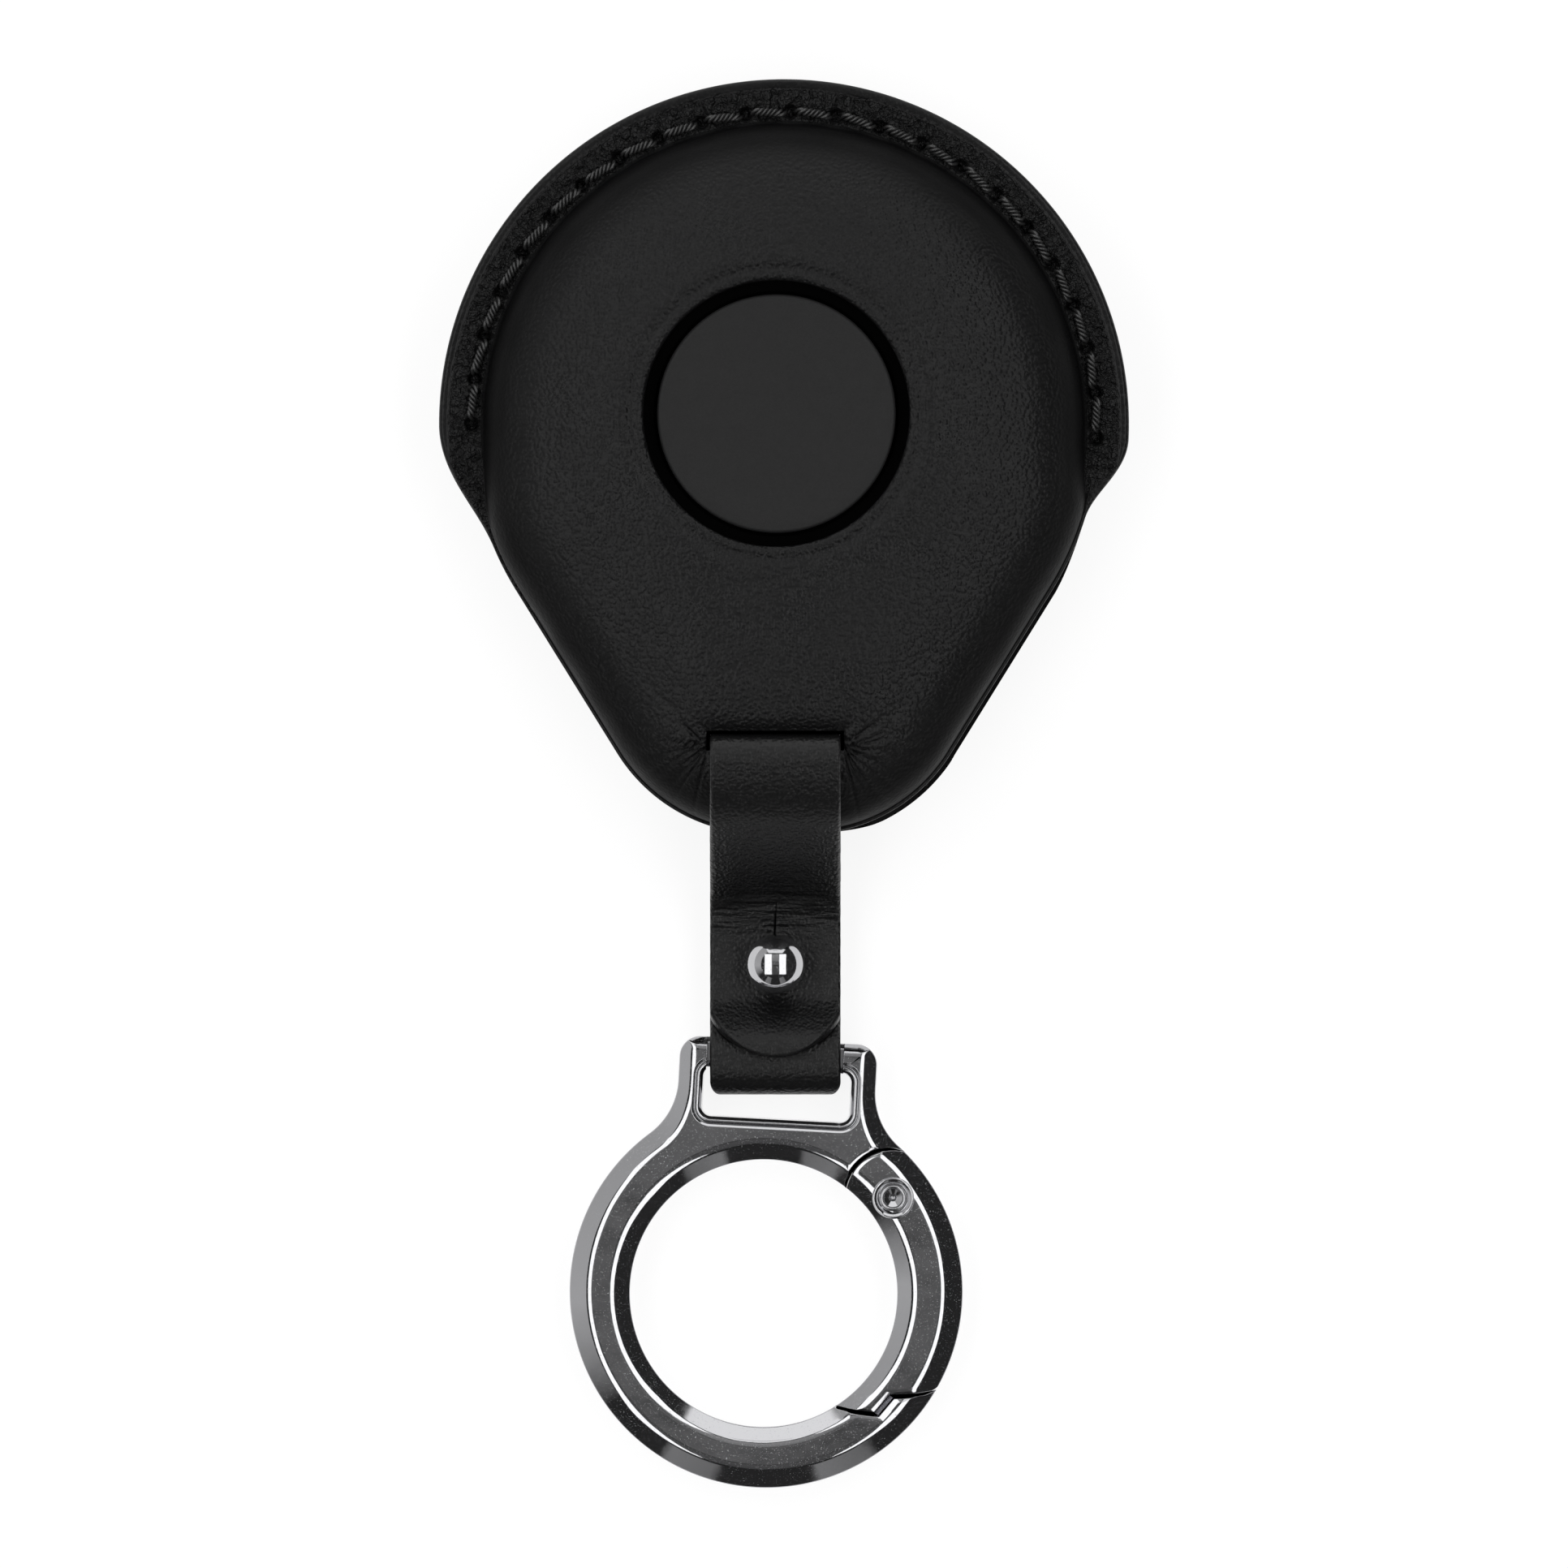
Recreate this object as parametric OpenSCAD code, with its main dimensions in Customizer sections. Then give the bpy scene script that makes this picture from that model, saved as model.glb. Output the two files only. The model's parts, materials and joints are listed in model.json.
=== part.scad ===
// Leather cover for a car key fob, with its strap, ball stud and snap ring.
// It lies on its back: +Z points out of its front, +Y points away from the ring.

/* [Case outline] */
// Radius of the round top of the case, without its flange
top_r = 29.0; // [28:0.1:30]
// Radius of the two corners of the narrow end
tip_r = 15.7; // [15:0.1:17]
// Half the distance between the centres of those two corners
tip_half = 2.0; // [1:0.1:3]
// Distance from the centre of the top down to the centres of the corners
taper_len = 22.0; // [21:0.1:24]
// Width of the stitched flange, out from the round top
flange_w = 2.72; // [2.2:0.02:4]
// Where the full flange ends on the right, in degrees from +X
flange_end_right = -2.5; // [-8:0.5:10]
// Where the full flange ends on the left, in degrees from +X
flange_end_left = 180; // [170:0.5:185]
// Angle over which the flange runs out on the right
runout_right = 15; // [10:1:20]
// Angle over which the flange runs out on the left
runout_left = 23; // [15:1:25]

/* [Case section] */
// Height of the plane where the two shells meet
parting_z = 8.5; // [8.3:0.1:9]
// Thickness of the shell leather
leather_t = 1.2; // [1:0.1:1.3]
// Thickness of the lining cloth
lining_t = 0.5; // [0.3:0.1:0.6]
// Height of the rim of the window
front_top = 18.4; // [18:0.1:20]
// Rise of the front from its shoulder to the window
front_crown = 2.0; // [1.5:0.1:2.5]
// Width over which the front wall would round over to flat
front_round = 9.0; // [8:0.1:10]
// Height of the back's shoulder over the flat that it rests on
back_crown = 2.6; // [2.5:0.1:3]
// Width over which the back wall would round over to flat
back_round = 8.0; // [7:0.1:9]
// Distance from the edge of the case to the flat of its back
flat_inset = 13.5; // [12:0.1:14]
// Distance from the edge to the foot of the wall, where there is no flange
foot_side = 0.35; // [0.3:0.05:0.6]
// Distance from the edge to the foot of the wall, along the flange
foot_flange = 1.5; // [1.2:0.1:1.8]

/* [Window] */
// Radius of the window in the front shell
window_r = 12.2; // [12:0.1:13]
// How far the window lies left of the middle
window_left = 0.7; // [0:0.1:1]
// How far the window lies above the centre of the top
window_up = 0.9; // [0:0.1:1.5]
// Width of the turned lip round the window
lip_w = 0.75; // [0.5:0.05:1]
// Width of the dip outside the lip
dip_w = 1.0; // [0.8:0.1:1.4]
// Depth of that dip
dip_depth = 0.15; // [0.1:0.05:0.3]

/* [Strap] */
// Width of the strap
strap_w = 12.0; // [10:0.1:12]
// Thickness of the strap
strap_t = 1.2; // [1:0.05:1.2]
// How far the strap lies left of the middle
strap_left = 0.8; // [0.5:0.1:1]
// Distance from the centre of the top down to where the strap passes through
strap_down = 29.1; // [28.8:0.1:29.4]
// Radius of the bends in the strap at its slots, at mid thickness
slot_bend_r = 1.3; // [1.2:0.05:1.5]
// Radius of the bend where the front leg comes down, at mid thickness
leg_bend_r = 3.4; // [3:0.1:4]
// Distance from the flex line to the stud
stud_from_flex = 3.5; // [3.4:0.1:4]
// Distance from the stud to the rounded end of the tab
tab_past_stud = 8.4; // [8:0.1:9]
// Distance from the stud to the middle of the ring's bar
bar_from_stud = 8.4; // [8.3:0.1:9]
// Room for the bar to turn in, above and below it
bar_room = 0.6; // [0.55:0.05:0.8]
// Slack of the fold past the bar
fold_slack = 0.9; // [0.6:0.1:1]

/* [Stud] */
// Radius of the ball head
ball_r = 2.72; // [2.5:0.02:3]
// Radius of the neck under the ball
neck_r = 1.3; // [1:0.05:1.5]
// Radius of the flange under the tab
stud_flange_r = 2.6; // [2.2:0.1:2.8]
// Thickness of that flange
stud_flange_t = 0.4; // [0.3:0.05:0.5]
// Radius of the post through the hidden layers
post_r = 1.0; // [0.95:0.05:1.2]
// Radius of the screw's head
screw_head_r = 3.1; // [2.8:0.1:3.5]
// Thickness of the screw's head
screw_head_t = 0.65; // [0.5:0.05:0.8]
// Radius of the screw's shank
screw_r = 0.6; // [0.5:0.05:0.7]
// Length of the slit above the buttonhole
slit_len = 4.2; // [3:0.1:5]

/* [Ring] */
// Outer radius of the ring
ring_r = 18.1; // [17.8:0.1:18.5]
// Width of the ring's band, from its outside to its hole
band_w = 5.8; // [5.6:0.1:6]
// How far the hole lies off the ring's centre, away from the gate
bore_shift = 0.3; // [0:0.05:0.4]
// Thickness of the ring
ring_t = 5.2; // [5:0.1:5.4]
// Width of the outer chamfer
chamfer_out = 1.75; // [1.5:0.05:2]
// Width of the inner chamfer
chamfer_in = 1.6; // [1.4:0.05:1.8]
// Depth of both chamfers
chamfer_deep = 1.5; // [1.2:0.05:1.7]
// Distance from the ring's outside to the middle of its bar
bar_out = 3.65; // [3.4:0.05:4.4]
// Width of the bar
bar_w = 2.8; // [2.6:0.05:2.9]
// Thickness of the bar
bar_t = 1.9; // [1.8:0.05:2]
// Outer width of the loop that carries the bar
loop_w = 18.2; // [18:0.1:18.6]
// Width of the opening in the loop
opening_w = 13.5; // [13.4:0.1:14]
// How far that opening reaches into the ring's band
opening_in = 2.15; // [2.1:0.05:2.5]
// Radius of the loop's outer corners
corner_r = 1.9; // [1.8:0.05:2]
// Radius of the necks between loop and ring
neck_blend_r = 6.5; // [6:0.1:7]
// Turn of the ring about the vertical, clockwise
ring_turn = 3.0; // [2.5:0.1:3.2]
// How far the loop lies to the right of the strap's middle
loop_right = 0.3; // [0.1:0.05:0.4]

/* [Gate] */
// Distance from the ring's outside in to the gate's pin
pin_in = 3.6; // [3.3:0.05:3.7]
// Direction of the pin from the ring's centre, in degrees
pin_dir = 39.4; // [38:0.1:42]
// Radius of the gate's round end about the pin
gate_head_r = 4.35; // [4.2:0.05:4.4]
// Gap between gate and frame
gate_gap = 0.3; // [0.25:0.05:0.35]
// Reach of the gate's outer side from the pin, as a share of the pin's distance from the centre
reach_out_share = 1.248; // [1.242:0.002:1.268]
// Reach of its hooked end from the pin on the inner side, as such a share
reach_in_share = 1.366; // [1.352:0.002:1.378]
// Direction from the pin where the hook's step starts, in degrees
hook_dir = -88; // [-89:0.5:-86]
// Slant of that step, in degrees
hook_slant = 4; // [3:0.5:5]
// Radius of the gate's outer corner, seen from above
tip_round = 1.3; // [0.8:0.1:1.6]
// Radius of the pin
pin_r = 1.2; // [1.1:0.05:1.25]
// Radius of the raised boss round the pin
boss_r = 1.9; // [1.8:0.05:2]
// Height of that boss
boss_h = 0.25; // [0.2:0.05:0.3]
// Radius of the hollow in each end of the pin
pin_hollow_r = 0.9; // [0.8:0.05:0.95]
// Radius of the frame's eye round the pin
eye_r = 2.4; // [2.2:0.05:2.45]
// Thickness of that eye
eye_t = 1.9; // [1.8:0.05:2]
// Radius of the spring's wire
wire_r = 0.16; // [0.14:0.01:0.18]
// Turns of the spring
spring_turns = 2.5; // [2.25:0.25:2.5]
// Opening of the gate, in degrees
gate_range = 28; // [20:1:28]

/* [Fob] */
// Radius of the button
button_r = 10.95; // [10.5:0.05:11]
// Height of the button's face
button_top = 17.7; // [17.5:0.05:18]
// Thickness of the button's face
button_t = 1.5; // [1.4:0.05:1.6]
// Travel of the button
button_travel = 0.5; // [0.3:0.05:0.6]
// Radius of the button's stem
stem_r = 2.0; // [1.8:0.1:2.4]
// Radius of the bay inside the fob
bay_r = 17.0; // [16.5:0.5:18]
// Thickness of the circuit board
board_t = 1.0; // [0.8:0.1:1.2]
// Radius of the cell
cell_r = 10.0; // [9:0.5:10]
// Thickness of the cell
cell_t = 3.2; // [2.5:0.1:3.2]
// Width of the switch
switch_w = 6.0; // [5:0.1:6]
// Height of the switch
switch_h = 1.6; // [1.4:0.1:2]

/* [Seam] */
// Number of stitches
stitch_n = 22; // [18:1:24]
// Radius of the thread
thread_r = 0.4; // [0.35:0.05:0.5]
// Distance from the flange's edge in to the seam
seam_in = 3.02; // [2.8:0.02:3.2]

/* [Hidden] */
$fn = 48;

// Overrun of every cut
cut = 1;
// Gap between pieces that lie on each other
seat_gap = 0.05;
// Gap between the fob and the lining, and round the strap in its slots
fob_gap = 0.3;
// Radial clearance of the pin in the eye
pin_fit = 0.05;
// Width of a fine cut in the leather
slit_w = 0.2;
// Rounding of cut leather edges
edge_round = 0.3;

// Radius of the flange, and of the seam in it
flange_r = top_r + flange_w;
seam_r = flange_r - seam_in;

// Places are counted from the centre of the case's round top
tip_y = -taper_len - tip_r;
strap_x = -strap_left;
run_y = -strap_down;
window_at = [-window_left, window_up];

// Stations round the case outline: centre x, centre y, radius, direction, share of the flange
arc_steps = 32;
side_steps = 4;
corner_steps = 6;
right_dir = -asin((top_r - tip_r) / norm([tip_half, taper_len])) + atan2(tip_half, taper_len);
top_sweep = 180 - 2 * right_dir;
corner_sweep = 90 + right_dir;

function fade(u) = (1 - cos(180 * min(1, max(0, u)))) / 2;
function flange_share(a) =
    fade((a - flange_end_right + runout_right) / runout_right) *
    fade((flange_end_left + runout_left - a) / runout_left);
function top_station(a) = [0, 0, top_r, a, flange_share(a)];
function corner_station(side, a) = [side * tip_half, -taper_len, tip_r, a, 0];
function mix(a, b, t) = a + (b - a) * t;

stations = concat(
    [for (i = [0 : arc_steps]) top_station(right_dir + top_sweep * i / arc_steps)],
    [for (i = [1 : side_steps - 1])
        mix(top_station(180 - right_dir), corner_station(-1, 180 - right_dir), i / side_steps)],
    [for (i = [0 : corner_steps]) corner_station(-1, 180 - right_dir + corner_sweep * i / corner_steps)],
    [for (i = [0 : corner_steps]) corner_station(1, 270 + corner_sweep * i / corner_steps)],
    [for (i = [1 : side_steps - 1])
        mix(corner_station(1, 360 + right_dir), top_station(360 + right_dir), i / side_steps)]);

function spot(q, inset) = [q[0] + (q[2] - inset) * cos(q[3]), q[1] + (q[2] - inset) * sin(q[3])];
function foot(q) = mix(foot_side, foot_flange, q[4]);
function edge(q) = -flange_w * q[4];
function lifted(p, z) = [p[0], p[1], z];
function edge_ring(inset, z) = [for (q = stations) lifted(spot(q, edge(q) + inset), z)];

// Front section: a wall that rounds over, then a crown up to the window
front_end = 68;
front_shoulder = front_top - front_crown;
front_h = (front_shoulder - parting_z - leather_t) / sin(front_end);
front_angles = [0, 14, 28, 42, 55, front_end];
function front_inset(q, f, d) = foot(q) + d + (front_round - d) * (1 - cos(f));
function front_z(f, d) = d == 0
    ? parting_z + leather_t + front_h * sin(f)
    : parting_z + (front_h + (leather_t - d) / sin(front_end)) * sin(f);
function front_wall(f, d) = [for (q = stations) lifted(spot(q, front_inset(q, f, d)), front_z(f, d))];
function toward(from, to, r) = to + (from - to) * r / norm(from - to);
function front_crown_ring(t, r, d) = [for (q = stations)
    let (p = spot(q, front_inset(q, front_end, d)))
    lifted(mix(p, toward(p, window_at, r), t), front_shoulder - d + front_crown * (1 - pow(1 - t, 2)))];
function window_ring(r, z) = [for (q = stations)
    lifted(toward(spot(q, front_inset(q, front_end, 0)), window_at, r), z)];

// Back section: a wall that rounds under, then a crown down to the flat
back_end = 65;
back_h = (parting_z - leather_t - back_crown) / sin(back_end);
back_angles = [back_end, 52, 38, 25, 12, 0];
function back_inset(q, f, d) = foot(q) + d + (back_round - d) * (1 - cos(f));
function back_z(f, d) = d == 0
    ? parting_z - leather_t - back_h * sin(f)
    : parting_z - (back_h + (leather_t - d) / sin(back_end)) * sin(f);
function back_wall(f, d) = [for (q = stations) lifted(spot(q, back_inset(q, f, d)), back_z(f, d))];
function back_crown_ring(t, d) = [for (q = stations)
    lifted(spot(q, mix(back_inset(q, back_end, d), flat_inset, t)), d + back_crown * pow(1 - t, 1.4))];

function reversed(v) = [for (i = [len(v) - 1 : -1 : 0]) v[i]];

// Everything is drawn about the case's centre and then moved, so that the origin is mid length
module placed() {
    translate([0, (ring_r - ring_y - flange_r) / 2, 0])
        children();
}

// A skin through rings of equal count, each anticlockwise from above, outer side first.
// With closed = true the last ring joins the first, and otherwise both are capped.
module loft(rings, closed = false) {
    n = len(rings[0]);
    k = len(rings);
    sides = [for (j = [0 : closed ? k - 1 : k - 2], i = [0 : n - 1])
        let (a = j * n + i, b = j * n + (i + 1) % n)
        let (d = ((j + 1) % k) * n + i, c = ((j + 1) % k) * n + (i + 1) % n)
        each [[a, d, c], [a, c, b]]];
    caps = closed ? [] : [[for (i = [0 : n - 1]) i], [for (i = [n - 1 : -1 : 0]) (k - 1) * n + i]];
    polyhedron(points = [for (r = rings) each r], faces = concat(sides, caps), convexity = 6);
}

// Strap: the centre line of each leg as points [y, z], then a band along it
run_turn_y = run_y - slot_bend_r;
front_leg_angles = [front_end, 55, 42, 30];
leg_off = strap_t / 2 + seat_gap * 3;
function front_slope(f) = atan(front_h * cos(f) / (front_round * sin(f)));
function leg_point(f) =
    [tip_y + foot_side + front_round * (1 - cos(f)) - leg_off * sin(front_slope(f)),
     front_z(f, 0) + leg_off * cos(front_slope(f))];
function arc(c, r, a, b, n) = [for (i = [0 : n]) c + r * [cos(mix(a, b, i / n)), sin(mix(a, b, i / n))]];

back_z_mid = strap_t / 2;
tongue_z = strap_t + seat_gap + strap_t / 2;
tab_z = tongue_z + strap_t / 2 + stud_flange_t + seat_gap + strap_t / 2;
flex_z = (tab_z + strap_t / 2) / 2;
flex_r = flex_z;
// Gap at the flex line between the two stretches of strap
flex_gap = 0.35;

leg_first = leg_point(front_leg_angles[0]);
leg_last = leg_point(front_leg_angles[3]);
leg_steep = front_slope(front_leg_angles[3]);
turn_end = 90 + front_slope(front_leg_angles[0]);
turn_top_y = run_turn_y + slot_bend_r * cos(turn_end);
turn_z = leg_first[1] + (turn_top_y - leg_first[0]) * tan(turn_end - 90) - slot_bend_r * sin(turn_end);
leg_foot_y = leg_last[0] - (leg_last[1] - tab_z) / tan(leg_steep);
leg_bend_y = leg_foot_y - leg_bend_r * tan(leg_steep / 2);
flex_y = leg_bend_y - edge_round;

stud_y = flex_y - stud_from_flex;
bar_y = stud_y - bar_from_stud;
tab_end_y = stud_y - tab_past_stud;
bar_z = strap_t + bar_t / 2 + bar_room;
fold_r = bar_z - strap_t / 2;
fold_y = bar_y - fold_slack;
fold_top = bar_z + fold_r;
ramp_start = fold_y + strap_t;
ramp_end = stud_y - stud_flange_r;
ramp_steps = 8;
function ramp(y) = let (u = min(1, max(0, (y - ramp_start) / (ramp_end - ramp_start))))
    mix(fold_top, tongue_z, u * u * (3 - 2 * u));
function tab_over(y) = mix(tab_z - tongue_z, strap_t + 2 * seat_gap,
    fade((ramp_start + strap_t - y) / (2 * strap_t)));

loop_path = concat(
    [[flex_y, back_z_mid]],
    arc([run_turn_y, back_z_mid + slot_bend_r], slot_bend_r, -90, 0, 6),
    arc([run_turn_y, turn_z], slot_bend_r, 0, turn_end, 7),
    [for (f = front_leg_angles) leg_point(f)],
    arc([leg_bend_y, tab_z + leg_bend_r], leg_bend_r, leg_steep - 90, -90, 6),
    [[flex_y - strap_t, tab_z]]);

tail_path = concat(
    [[flex_y + flex_r, back_z_mid]],
    arc([fold_y, bar_z], fold_r, 270, 90, 16),
    [for (i = [0 : ramp_steps])
        let (y = mix(ramp_start, ramp_end, i / ramp_steps)) [y, ramp(y)]],
    [[flex_y - strap_t / 2, tongue_z]]);

tab_path = concat(
    [[flex_y + flex_r, tab_z], [ramp_end + strap_t, tab_z]],
    [for (i = [0 : ramp_steps])
        let (y = mix(ramp_end, tab_end_y, i / ramp_steps)) [y, ramp(y) + tab_over(y)]]);

function unit(v) = v / norm(v);
function left_of(v) = [-v[1], v[0]];
function along(p, i) = unit(p[min(i + 1, len(p) - 1)] - p[max(i - 1, 0)]);
function band(p, half) = concat(
    [for (i = [0 : len(p) - 1]) p[i] + half * left_of(along(p, i))],
    reversed([for (i = [0 : len(p) - 1]) p[i] - half * left_of(along(p, i))]));

// A band of strap along a path, across the strap's width
module strap_band(path) {
    translate([strap_x - strap_w / 2, 0, 0])
        rotate([90, 0, 90])
            linear_extrude(strap_w)
                polygon(band(path, strap_t / 2));
}

// A rod across the strap on the flex line, for the ends that face each other there
module flex_rod(r) {
    translate([strap_x, flex_y, flex_z])
        rotate([0, 90, 0])
            cylinder(r = r, h = strap_w + 2 * cut, center = true);
}

module strap_slot() {
    slot_w = strap_w + 2 * fob_gap;
    slot_h = strap_t + 2 * fob_gap;
    translate([strap_x - slot_w / 2, run_y - slot_h / 2, -cut])
        cube([slot_w, slot_h, front_top + 2 * cut]);
}

module front_shell() {
    outside = concat(
        [edge_ring(0, parting_z), edge_ring(0, parting_z + leather_t - edge_round)],
        [edge_ring(edge_round, parting_z + leather_t)],
        [for (f = front_angles) front_wall(f, 0)],
        [for (t = [0.25, 0.5, 0.75]) front_crown_ring(t, window_r + lip_w + dip_w, 0)],
        [window_ring(window_r + lip_w + dip_w, front_top)],
        [window_ring(window_r + lip_w + dip_w / 2, front_top - dip_depth)],
        [window_ring(window_r + lip_w, front_top)],
        [window_ring(window_r + edge_round, front_top)],
        [window_ring(window_r, front_top - edge_round)]);
    inside = concat(
        [window_ring(window_r, front_top - leather_t)],
        [for (t = [0.75, 0.5, 0.25]) front_crown_ring(t, window_r + lip_w + dip_w, leather_t)],
        [for (f = reversed(front_angles)) front_wall(f, leather_t)]);
    color([0.12, 0.12, 0.12])
        placed()
            difference() {
                loft(concat(outside, inside), closed = true);
                strap_slot();
            }
}

module back_shell() {
    outside = concat(
        [for (t = [1, 0.66, 0.33]) back_crown_ring(t, 0)],
        [for (f = back_angles) back_wall(f, 0)],
        [edge_ring(edge_round, parting_z - leather_t)],
        [edge_ring(0, parting_z - leather_t + edge_round), edge_ring(0, parting_z)]);
    inside = concat(
        [for (f = reversed(back_angles)) back_wall(f, leather_t)],
        [for (t = [0.33, 0.66, 1]) back_crown_ring(t, leather_t)]);
    color([0.10, 0.10, 0.10])
        placed()
            difference() {
                loft(concat(outside, inside));
                strap_slot();
            }
}

module front_lining() {
    near = leather_t + seat_gap;
    far = leather_t + lining_t;
    outside = concat(
        [for (f = front_angles) front_wall(f, near)],
        [for (t = [0.25, 0.5, 0.75]) front_crown_ring(t, window_r + lip_w + dip_w, near)]);
    inside = concat(
        [for (t = [0.75, 0.5, 0.25]) front_crown_ring(t, window_r + lip_w + dip_w, far)],
        [for (f = reversed(front_angles)) front_wall(f, far)]);
    color([0.25, 0.25, 0.27])
        placed()
            difference() {
                loft(concat(outside, inside), closed = true);
                strap_slot();
            }
}

module back_lining() {
    near = leather_t + seat_gap;
    far = leather_t + lining_t;
    outside = concat(
        [for (t = [1, 0.66, 0.33]) back_crown_ring(t, near)],
        [for (f = back_angles) back_wall(f, near)]);
    inside = concat(
        [for (f = reversed(back_angles)) back_wall(f, far)],
        [for (t = [0.33, 0.66, 1]) back_crown_ring(t, far)]);
    color([0.25, 0.25, 0.27])
        placed()
            difference() {
                loft(concat(outside, inside));
                strap_slot();
            }
}

// One stitch on a face of the flange, from hole to hole
module stitch(a, sweep, z) {
    span = 2 * seam_r * sin(sweep / 2) - 2 * thread_r;
    rotate([0, 0, a])
        translate([seam_r * cos(sweep / 2), 0, z])
            rotate([90, 0, 0])
                cylinder(r = thread_r, h = span, center = true, $fn = 16);
}

module seam_thread() {
    sweep = (flange_end_left - flange_end_right) / stitch_n;
    color([0.14, 0.14, 0.14])
        placed()
            for (i = [0 : stitch_n - 1], face = [-1, 1])
                stitch(flange_end_right + (i + 0.5) * sweep, sweep,
                       parting_z + face * (leather_t + thread_r + seat_gap));
}

// Depth of the fob's own skin under the face of the leather
fob_d = leather_t + lining_t + fob_gap;
well_floor = button_top - button_t - button_travel - seat_gap;
// Height of the bay over the parting plane
bay_up = 2.4;
bay_down = board_t + cell_t + 2 * seat_gap;
// Thickness of the pad's web
pad_t = 0.6;
board_top = parting_z + seat_gap + board_t;
switch_top = board_top + seat_gap + switch_h;

module fob_bay() {
    translate([window_at[0], window_at[1], parting_z - bay_down])
        cylinder(r = bay_r, h = bay_down + bay_up);
}

module fob_upper_case() {
    rings = concat(
        [for (f = front_angles) front_wall(f, fob_d)],
        [for (t = [0.33, 0.66, 1]) front_crown_ring(t, window_r, fob_d)]);
    color([0.08, 0.08, 0.09])
        placed()
            difference() {
                loft(rings);
                strap_slot();
                fob_bay();
                translate([window_at[0], window_at[1], well_floor])
                    cylinder(r = button_r + fob_gap, h = front_top);
                translate([window_at[0], window_at[1], parting_z])
                    cylinder(r = stem_r + fob_gap, h = front_top);
            }
}

module fob_lower_case() {
    rings = concat(
        [for (t = [1, 0.5]) back_crown_ring(t, fob_d)],
        [for (f = back_angles) back_wall(f, fob_d)]);
    color([0.08, 0.08, 0.09])
        placed()
            difference() {
                loft(rings);
                strap_slot();
                fob_bay();
            }
}

module fob_button() {
    color([0.2, 0.2, 0.2])
        placed()
            translate([window_at[0], window_at[1], 0]) {
                rotate_extrude($fn = 96)
                    polygon([
                        [0, switch_top + pad_t + 2 * seat_gap],
                        [stem_r, switch_top + pad_t + 2 * seat_gap],
                        [stem_r, button_top - button_t],
                        [button_r, button_top - button_t],
                        [button_r, button_top - edge_round],
                        [button_r - edge_round, button_top],
                        [0, button_top]]);
            }
}

module fob_pad() {
    color([0.3, 0.3, 0.3])
        placed()
            translate([window_at[0], window_at[1], switch_top + seat_gap])
                cylinder(r = stem_r, h = pad_t);
}

module fob_switch() {
    color([0.7, 0.7, 0.7])
        placed()
            translate([window_at[0], window_at[1], board_top + seat_gap]) {
                translate([-switch_w / 2, -switch_w / 2, 0])
                    cube([switch_w, switch_w, switch_h / 2]);
                cylinder(r = stem_r, h = switch_h);
            }
}

module fob_board() {
    color([0.1, 0.35, 0.2])
        placed()
            translate([window_at[0], window_at[1], parting_z + seat_gap])
                cylinder(r = bay_r - fob_gap, h = board_t);
}

module fob_cell() {
    color([0.75, 0.75, 0.75])
        placed()
            translate([window_at[0], window_at[1], parting_z - cell_t])
                rotate_extrude()
                    polygon([
                        [0, 0],
                        [cell_r - edge_round, 0],
                        [cell_r, edge_round],
                        [cell_r, cell_t],
                        [0, cell_t]]);
}

// The slit runs up from the buttonhole, over the flex line
module slit() {
    translate([strap_x - slit_w / 2, stud_y, tab_z - strap_t])
        cube([slit_w, ball_r + slit_len, 3 * strap_t]);
}

module strap_loop() {
    color([0.13, 0.13, 0.13])
        placed()
            difference() {
                strap_band(loop_path);
                flex_rod(flex_r + flex_gap);
                translate([strap_x - strap_w, flex_y - strap_w, -cut])
                    cube([2 * strap_w, strap_w, strap_w]);
                slit();
            }
}

// Half a strap's end beyond the flex line is rounded about that line
module flex_end() {
    flex_rod(flex_r);
    translate([strap_x - strap_w / 2 - cut, flex_y - strap_w * 3, -cut])
        cube([strap_w + 2 * cut, strap_w * 3, front_top]);
}

module strap_tail() {
    color([0.12, 0.12, 0.12])
        placed()
            difference() {
                intersection() {
                    strap_band(tail_path);
                    flex_end();
                }
                translate([strap_x, stud_y, -cut])
                    cylinder(r = post_r + seat_gap, h = strap_w);
                translate([strap_x, stud_y, -cut])
                    cylinder(r = screw_head_r + seat_gap, h = cut + screw_head_t + seat_gap);
            }
}

// The tab's end is a half round as wide as the strap, a little flattened
module tab_outline() {
    end_r = strap_w / 2 + edge_round;
    intersection() {
        translate([strap_x - strap_w / 2, tab_end_y])
            square([strap_w, flex_y + strap_w - tab_end_y]);
        union() {
            translate([strap_x, tab_end_y + end_r])
                circle(r = end_r, $fn = 96);
            translate([strap_x - end_r, tab_end_y + end_r])
                square([2 * end_r, flex_y + strap_w - tab_end_y]);
        }
    }
}

module strap_tab() {
    color([0.13, 0.13, 0.13])
        placed()
            difference() {
                intersection() {
                    strap_band(tab_path);
                    flex_end();
                    linear_extrude(front_top)
                        tab_outline();
                }
                translate([strap_x, stud_y, 0])
                    cylinder(r = neck_r + pin_fit, h = strap_w);
                slit();
            }
}

stud_seat = tongue_z + strap_t / 2;
ball_z = stud_seat + stud_flange_t + strap_t + ball_r;

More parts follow.
